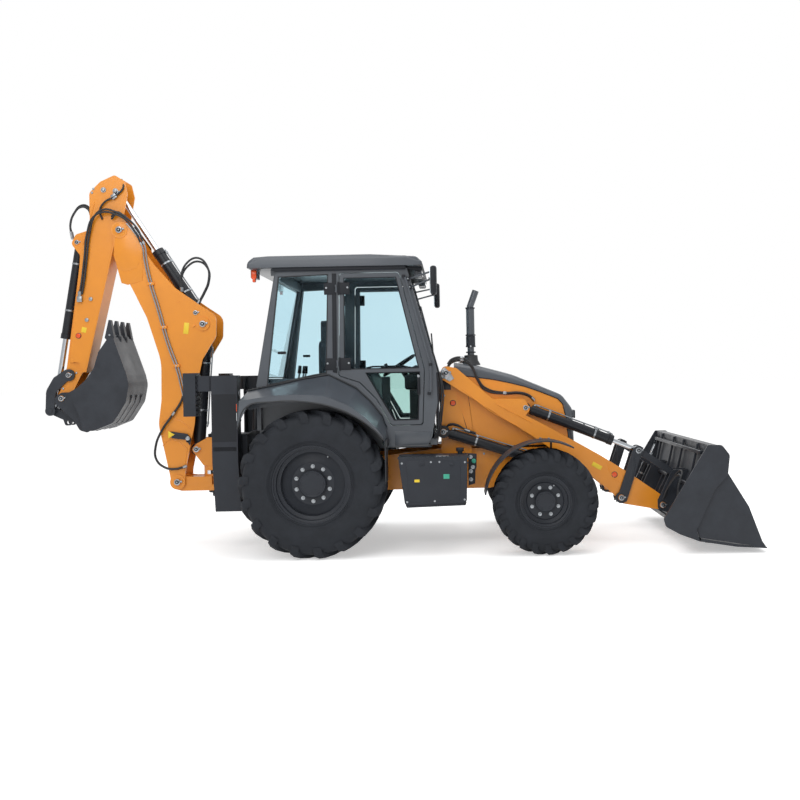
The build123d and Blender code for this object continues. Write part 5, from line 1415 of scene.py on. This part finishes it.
    def front_guard(self, side: Side) -> None:
        """Edge one front mudguard with a rolled lip and bolt it to its bracket.

        Args:
            side: the side of the machine.
        """
        shape = Shape(POWDER)
        radius = self.lip
        x, z = FRONT_AXLE
        for y in (-1092, -792):
            shape.hose([(x + radius * cos(a), y, z + radius * sin(a))
                        for a in map(radians, (64, 80, 96, 112, 128, 144, 158, 170))], 7)
        for a in map(radians, (84, 92)):
            out = (cos(a), 0, sin(a))
            shape.bolt((x + (radius + 7) * out[0], -820, z + (radius + 7) * out[2]), out, 11, ZINC, ZINC)
        shape.settle(side)
        shape.done(f"front_guard_lip_{side.word}", f"knuckle_{side.word}", angle=40.0)


@dataclass
class Hoe:
    """Hoses, pipes, doublers, labels, bolts and teeth of the backhoe."""

    boom_face: float = -150.0  # outer face of the boom's right side
    dipper_face: float = -118.0
    bucket_half: float = 300.0  # half of the bucket's width
    bucket_hinge: tuple[float, float] = (-2477, 1238)  # where the tip link takes hold of the bucket
    teeth: int = 4

    def build(self) -> None:
        """Fit each piece of the backhoe."""
        self.boom()
        self.boom_lines()
        self.dipper()
        self.extension()
        self.bucket()
        self.lock_bracket()
        self.rear_frame_lines()
        for side in Side:
            self.stabilizer(side)

    def boom(self) -> None:
        """Weld doublers and bosses on both sides, with weld beads, bolts and blank labels."""
        shape = Shape(ENAMEL)
        y = self.boom_face
        for grow, out in ((0, 6.0), (1, 3.5)):
            shape.plate([(-2100, 3330), (-2040, 3352), (-1990, 3330), (-1838, 3110),
                         (-1832, 2985 - 95 * grow), (-1900 + 60 * grow, 2868 - 130 * grow),
                         (-1990, 2836 - 140 * grow), (-2056, 2846 - 130 * grow), (-2110, 2930),
                         (-2132, 3010)], y + 1, y - out, ENAMEL, 1.5)
        shape.cross(BOOM_HEAD, 70, y, y - 12, ENAMEL, 48, 2.0)
        shape.wire([(-1672, y, 1262), (-1620, y, 1300), (-1560, y, 1322), (-1480, y, 1290),
                    (-1366, y, 1200)], 5, ENAMEL)
        shape.wire([(-1662, y, 1030), (-1618, y, 1078), (-1570, y, 1094), (-1500, y, 1070),
                    (-1412, y, 1000)], 5, ENAMEL)
        shape.wire([(-1412, y, 1000), (-1452, y, 760)], 4, ENAMEL)
        shape.box((-1424, y - 2.5, 2180), (-1372, y + 1, 2296), YELLOW_FILM, 0.5, leaning(7))
        for x, z, size in ((-1319, 2260, 13), (-1966, 3120, 8), (-1470, 2512, 7)):
            shape.bolt((x, y, z), OUT_RIGHT, size, ENAMEL)
        shape.mirror()
        shape.done("boom_plates", "boom")

    def boom_lines(self) -> None:
        """Lay the steel pipes along the boom and the hoses at its head, back and foot."""
        shape = Shape(ZINC)
        y = self.boom_face - 14
        route = [(-1990, 3330), (-1905, 3222), (-1834, 3100), (-1812, 2940), (-1764, 2700), (-1690, 2440),
                 (-1596, 2080), (-1500, 1800), (-1462, 1640), (-1440, 1540)]
        for off in (0.0, 24.0):
            shape.hose([(x + off, y, z + off * 0.4) for x, z in route], 7.5, ZINC, 5)
            shape.hexagon((-1834 + off, y, 3100 + off * 0.4), (-1848 + off, y, 3128 + off * 0.4), 13, ZINC)
        for x, z in ((-1764, 2700), (-1640, 2250), (-1516, 1850)):
            shape.box((x - 22, self.boom_face + 1, z - 12), (x + 46, y - 10, z + 16), ENAMEL, 3.0)
            shape.bolt((x + 12, y - 10, z + 2), OUT_RIGHT, 9, ZINC)
        # hoses from the pipes' upper ends to the head of the boom
        for off in (0.0, 26.0):
            shape.hose([(-1848 + off, y, 3128), (-1900 + off, y - 8, 3240 + off), (-2000, y - 12, 3370 + off),
                        (-2090, y - 4, 3420 + off), (-2150, y + 20, 3380 + off)], 10, HOSE)
        # hoses from the pipes' lower ends, hanging behind the foot and back to the post
        shape.hose([(-1440, y, 1540), (-1462, y - 6, 1480), (-1540, y - 14, 1360), (-1660, y - 18, 1190),
                    (-1726, y - 18, 1030), (-1722, y - 14, 890), (-1630, y - 10, 806), (-1530, y - 8, 792),
                    (-1440, y, 812)], 12, HOSE)
        shape.hexagon((-1528, y - 12, 1380), (-1550, y - 15, 1344), 18, ZINC)
        shape.hexagon((-1452, y - 2, 806), (-1420, y, 820), 18, ZINC)
        # two loops on the boom's back over the dipper cylinder
        for yy, off in ((-92, 0.0), (-116, 34.0)):
            shape.hose([(-1452, yy, 2640), (-1456, yy, 2760), (-1380, yy, 2890 + off),
                        (-1270, yy, 2930 + off), (-1176, yy, 2850 + off / 2), (-1170, yy, 2720),
                        (-1220, yy, 2600), (-1270, yy, 2512)], 11, HOSE)
            shape.hexagon((-1452, yy, 2620), (-1452, yy, 2664), 16, ZINC)
            shape.hexagon((-1284, yy, 2490), (-1262, yy, 2532), 16, ZINC)
        shape.done("boom_lines", "boom", angle=40.0)

    def dipper(self) -> None:
        """Bolt the head, and lead the hoses down the dipper's face."""
        shape = Shape(ZINC)
        y = self.dipper_face
        for x, z, size in ((-2237, 3686, 20), (-2113, 3674, 20), (-2340, 3700, 9), (-2356, 3660, 9)):
            shape.bolt((x, y, z), OUT_RIGHT, size, ZINC, ZINC)
        for x, z in ((-2388, 2561), (-2433, 2345)):
            shape.cross((x, z), 20, y + 1, y - 12, ZINC, 28, 3.0)
        shape.wire([(-2330, y, 3560), (-2388, y, 3350), (-2460, y, 3120)], 4, ENAMEL)
        shape.reflector((-2523, 2184), y, 29, 24, POWDER)
        shape.box((-2490, y - 2.5, 2216), (-2440, y + 1, 2270), YELLOW_FILM, 0.5, leaning(12))
        shape.mirror()
        for off in (0.0, 26.0):
            shape.hose([(-2500 + off, y - 16, 2610), (-2480 + off, y - 18, 2700),
                        (-2440 + off, y - 20, 2980), (-2404 + off, y - 26, 3240),
                        (-2330 + off, y - 46, 3400 + off), (-2210, y - 62, 3448 + off),
                        (-2090, y - 60, 3420 + off), (-1990, y - 54, 3370 + off)], 11, HOSE)
        shape.hexagon((-2500, y - 14, 2580), (-2496, y - 16, 2640), 18, ZINC)
        shape.box((-2524, y - 34, 2530), (-2470, y + 1, 2590), ZINC, 6.0)
        shape.hose([(-2060, y + 40, 3800), (-2030, y - 10, 3700), (-2120, y - 22, 3610),
                    (-2220, y - 24, 3555), (-2270, y - 20, 3470), (-2250, y - 10, 3380)], 10, HOSE)
        shape.box((-2150, y - 30, 3588), (-2096, y + 1, 3640), ZINC, 5.0, leaning(-35))
        shape.done("dipper_lines", "dipper", angle=36.0)

    def extension(self) -> None:
        """Hang the bucket cylinder's hoses behind the sliding tube, with bolts on its nose."""
        shape = Shape(HOSE)
        for yy, off in ((-66, 0.0), (-44, 22.0)):
            shape.hose([(-2390, yy, 3420), (-2420, yy, 3500 + off), (-2490, yy, 3524 + off),
                        (-2570, yy, 3450 + off), (-2606 - off / 2, yy, 3340), (-2602, yy, 3250)], 11)
            shape.hexagon((-2603, yy, 3270), (-2588, yy, 3192), 15, ZINC)
        for x, z in ((-2700, 1640), (-2560, 1800)):
            shape.bolt((x, -98, z), OUT_RIGHT, 12, ZINC)
            shape.bolt((x, 98, z), (0, 1, 0), 12, ZINC)
        shape.done("extension_lines", "extension", angle=40.0)

    def bucket(self) -> None:
        """Add tooth adapters with their pins, wear strips, the sides' bolts and the hinge's bosses."""
        shape = Shape(BUCKET_STEEL)
        half = self.bucket_half
        for i in range(self.teeth):
            y = -half + 40 + i * (2 * half - 80) / (self.teeth - 1)
            if abs(y) < half - 45:
                shape.plate([(-2184, 2118), (-2196, 2168), (-2160, 2214), (-2084, 2166), (-2086, 2108)],
                            y - 33, y + 33, BUCKET_STEEL, 3.0)
            shape.rod((-2138, y - 36, 2176), (-2138, y + 36, 2176), 10, ZINC, 16)
        for y in (-150, 0, 150):
            shape.plate([(-2316, 1203), (-2120, 1278), (-2058, 1368), (-1984, 1484), (-1958, 1560),
                         (-1996, 1500), (-2070, 1380), (-2130, 1292), (-2316, 1216)], y - 26, y + 26,
                        BUCKET_STEEL, 2.0)
        for out in (-1, 1):
            for x, z in ((-2140, 2060), (-2210, 1960), (-2262, 1840)):
                shape.bolt((x, out * 268, z), (0, -out, 0), 15, ZINC)
        for out in (-1, 1):
            shape.cross(self.bucket_hinge, 30, out * 125, out * 150, BUCKET_STEEL, 32, 2.0)
        shape.done("hoe_bucket_fittings", "hoe_bucket")

    def lock_bracket(self) -> None:
        """Fit the boom's lock bracket with its blank yellow plate."""
        shape = Shape(POWDER)
        y = -178.0
        shape.plate([(-1590, 1168), (-1572, 1178), (-1400, 1150), (-1362, 1094), (-1376, 1030), (-1420, 1090),
                     (-1560, 1108)], y, y + 14, POWDER, 2.0)
        shape.plate([(-1596, 1108), (-1596, 1184), (-1530, 1146)], y - 3, y, YELLOW_FILM, 0.5)
        shape.cross((-1396, 1104), 22, y - 10, y + 14, ZINC, 28, 3.0)
        shape.box((-1416, y, 1064), (-1376, -93, 1108), POWDER, 6.0)
        shape.done("lock_bracket", "swing_post")

    def rear_frame_lines(self) -> None:
        """Fit the valve bank behind the cab, its hoses to the post and the swing pin's cap."""
        shape = Shape(HOSE)
        for z in (1140, 1158):
            shape.rod((-1157, 0, z - 20), (-1157, 0, z), 62 - (z - 1140), POWDER, 36, round_mm=3.0)
        for off in (-90, -30, 30, 90):
            shape.hose([(-800, off * 2.2, 1000), (-860, off * 2.0, 900 - abs(off)),
                        (-980, off * 1.2, 860 - abs(off) / 2), (-1080, off * 1.0, 900)], 11)
        shape.box((-800, -210, 980), (-758, 210, 1090), POWDER, 8.0)
        for i in range(8):
            shape.hexagon((-792, -180 + i * 51, 1086), (-792, -180 + i * 51, 1120), 14, ZINC)
        shape.done("rear_frame_lines", "chassis", angle=40.0)

    def stabilizer(self, side: Side) -> None:
        """Face one stabilizer's pad with ribbed rubber, cap its pins and plate its leg.

        Args:
            side: the side of the machine.
        """
        shape = Shape(POLYETHYLENE)
        for z0, z1 in ((1356, 1548), (1560, 1764)):
            shape.box((-1266, -768, z0), (-1142, -604, z1), POLYETHYLENE, 14.0)
        for i in range(9):
            z = 1376 + i * 44
            shape.box((-1150, -760, z), (-1132, -612, z + 22), POLYETHYLENE, 3.0)
        shape.box((-1020, -744, 1600), (-1004, -626, 1734), POLYETHYLENE, 6.0)
        shape.rod((-1074, -690, 1670), (-1000, -690, 1670), 22, ZINC, 28, round_mm=2.0)
        shape.rod((-1082, -690, 1670), (-1072, -690, 1670), 34, ZINC, 28, round_mm=2.0)
        for x in (-999, -742):
            out = -6 if x < -900 else 6
            shape.rod((x, -690, 1560), (x + out, -690, 1560), 34, ZINC, 28, round_mm=1.5)
        shape.plate([(-990, 1560), (-756, 1560), (-756, 1100), (-990, 1100)], -769, -771)
        shape.box((-985, -770, 1010), (-760, -766, 1050))
        shape.settle(side)
        shape.done(f"stabilizer_{side.word}_fittings", f"stabilizer_{side.word}")


@dataclass
class Studio:
    """Floor, lamps, world and camera."""

    floor_half: float = 120.0  # metres
    floor_emission: float = 0.42
    eye: tuple[float, float, float] = (0.6915, -9.8, 1.703)  # of the camera, in metres
    yaw: float = -0.0192  # turn of the camera, in radians
    lens_mm: float = 42.12
    sensor_mm: float = 36.0
    shift: tuple[float, float] = (-0.06875, -0.03125)  # of the picture, as a share of its width

    def build(self) -> None:
        """Make everything round the machine."""
        self.floor()
        self.lamps()
        self.world()
        self.camera()

    def floor(self) -> None:
        """Lay a wide pale floor that stays white and keeps the shadow."""
        mesh = bmesh.new()
        bmesh.ops.create_grid(mesh, x_segments=1, y_segments=1, size=self.floor_half)
        data = bpy.data.meshes.new("floor")
        mesh.to_mesh(data)
        mesh.free()
        material = bpy.data.materials.new("studio_floor")
        material.use_nodes = True
        tree = material.node_tree
        shader = tree.nodes["Principled BSDF"]
        shader.inputs["Base Color"].default_value = linear("#f0f0f0")
        shader.inputs["Roughness"].default_value = 1.0
        shader.inputs["Specular IOR Level"].default_value = 0.0
        shader.inputs["Emission Color"].default_value = (1.0, 1.0, 1.0, 1.0)
        rays = add(tree, "ShaderNodeLightPath")
        seen = add(tree, "ShaderNodeMath", {"operation": "MAXIMUM"},
                   {"0": rays.outputs["Is Camera Ray"], "1": rays.outputs["Is Glossy Ray"]})
        seen = add(tree, "ShaderNodeMath", {"operation": "MAXIMUM"},
                   {"0": seen.outputs[0], "1": rays.outputs["Is Transmission Ray"]})
        level = add(tree, "ShaderNodeMath", {"operation": "MULTIPLY", "1": self.floor_emission},
                    {"0": seen.outputs[0]})
        tree.links.new(level.outputs[0], shader.inputs["Emission Strength"])
        data.materials.append(material)
        floor = bpy.data.objects.new("floor", data)
        bpy.context.scene.collection.objects.link(floor)

    def lamps(self) -> None:
        """Hang three large soft lamps."""
        for name, place, size, power in (
            ("lamp_front", (-3.0, -9.0, 7.0), 6.0, 300.0),
            ("lamp_top", (0.5, -1.0, 9.0), 8.0, 380.0),
            ("lamp_rear", (3.0, 9.0, 6.0), 6.0, 180.0),
        ):
            light = bpy.data.lights.new(name, "AREA")
            light.shape, light.size, light.energy = "SQUARE", size, power
            lamp = bpy.data.objects.new(name, light)
            lamp.location = place
            aim = Vector((0.0, 0.0, 1.2)) - Vector(place)
            lamp.rotation_euler = aim.to_track_quat("-Z", "Y").to_euler()
            bpy.context.scene.collection.objects.link(lamp)

    def world(self) -> None:
        """Light evenly from all round, and show white to the camera."""
        world = bpy.data.worlds.new("studio")
        world.use_nodes = True
        tree = world.node_tree
        shade = tree.nodes["Background"]
        shade.inputs["Color"].default_value = (1.0, 1.0, 1.0, 1.0)
        rays = add(tree, "ShaderNodeLightPath")
        seen = add(tree, "ShaderNodeMath", {"operation": "MAXIMUM"},
                   {"0": rays.outputs["Is Camera Ray"], "1": rays.outputs["Is Transmission Ray"]})
        level = add(tree, "ShaderNodeMapRange", {"To Min": 0.72, "To Max": 1.0}, {"Value": seen.outputs[0]})
        tree.links.new(level.outputs["Result"], shade.inputs["Strength"])
        bpy.context.scene.world = world
        bpy.context.scene.view_settings.view_transform = "Standard"

    def camera(self) -> None:
        """Stand the camera level with the cab, square to the machine's right side."""
        data = bpy.data.cameras.new("camera")
        data.lens, data.sensor_width = self.lens_mm, self.sensor_mm
        data.shift_x, data.shift_y = self.shift
        camera = bpy.data.objects.new("camera", data)
        upright = Matrix.Rotation(pi / 2, 4, "X")
        camera.matrix_world = Matrix.Translation(self.eye) @ upright @ Matrix.Rotation(self.yaw, 4, "Z")
        bpy.context.scene.collection.objects.link(camera)
        bpy.context.scene.camera = camera


def main() -> None:
    """Build the studio and every sub-assembly in order."""
    logging.basicConfig(level=logging.INFO, format="%(name)s %(message)s")
    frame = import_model()
    bodies = body_of_nodes(frame)
    for wheel in WHEELS:
        wheel.build()
    plain_copies(bodies)
    for piece in (*RAMS, *PIN_HEADS, Loader(), BucketGear(), Cab(), Cabin(), Body(), Hoe(), Studio()):
        piece.build()


if __name__ == "__main__":
    main()
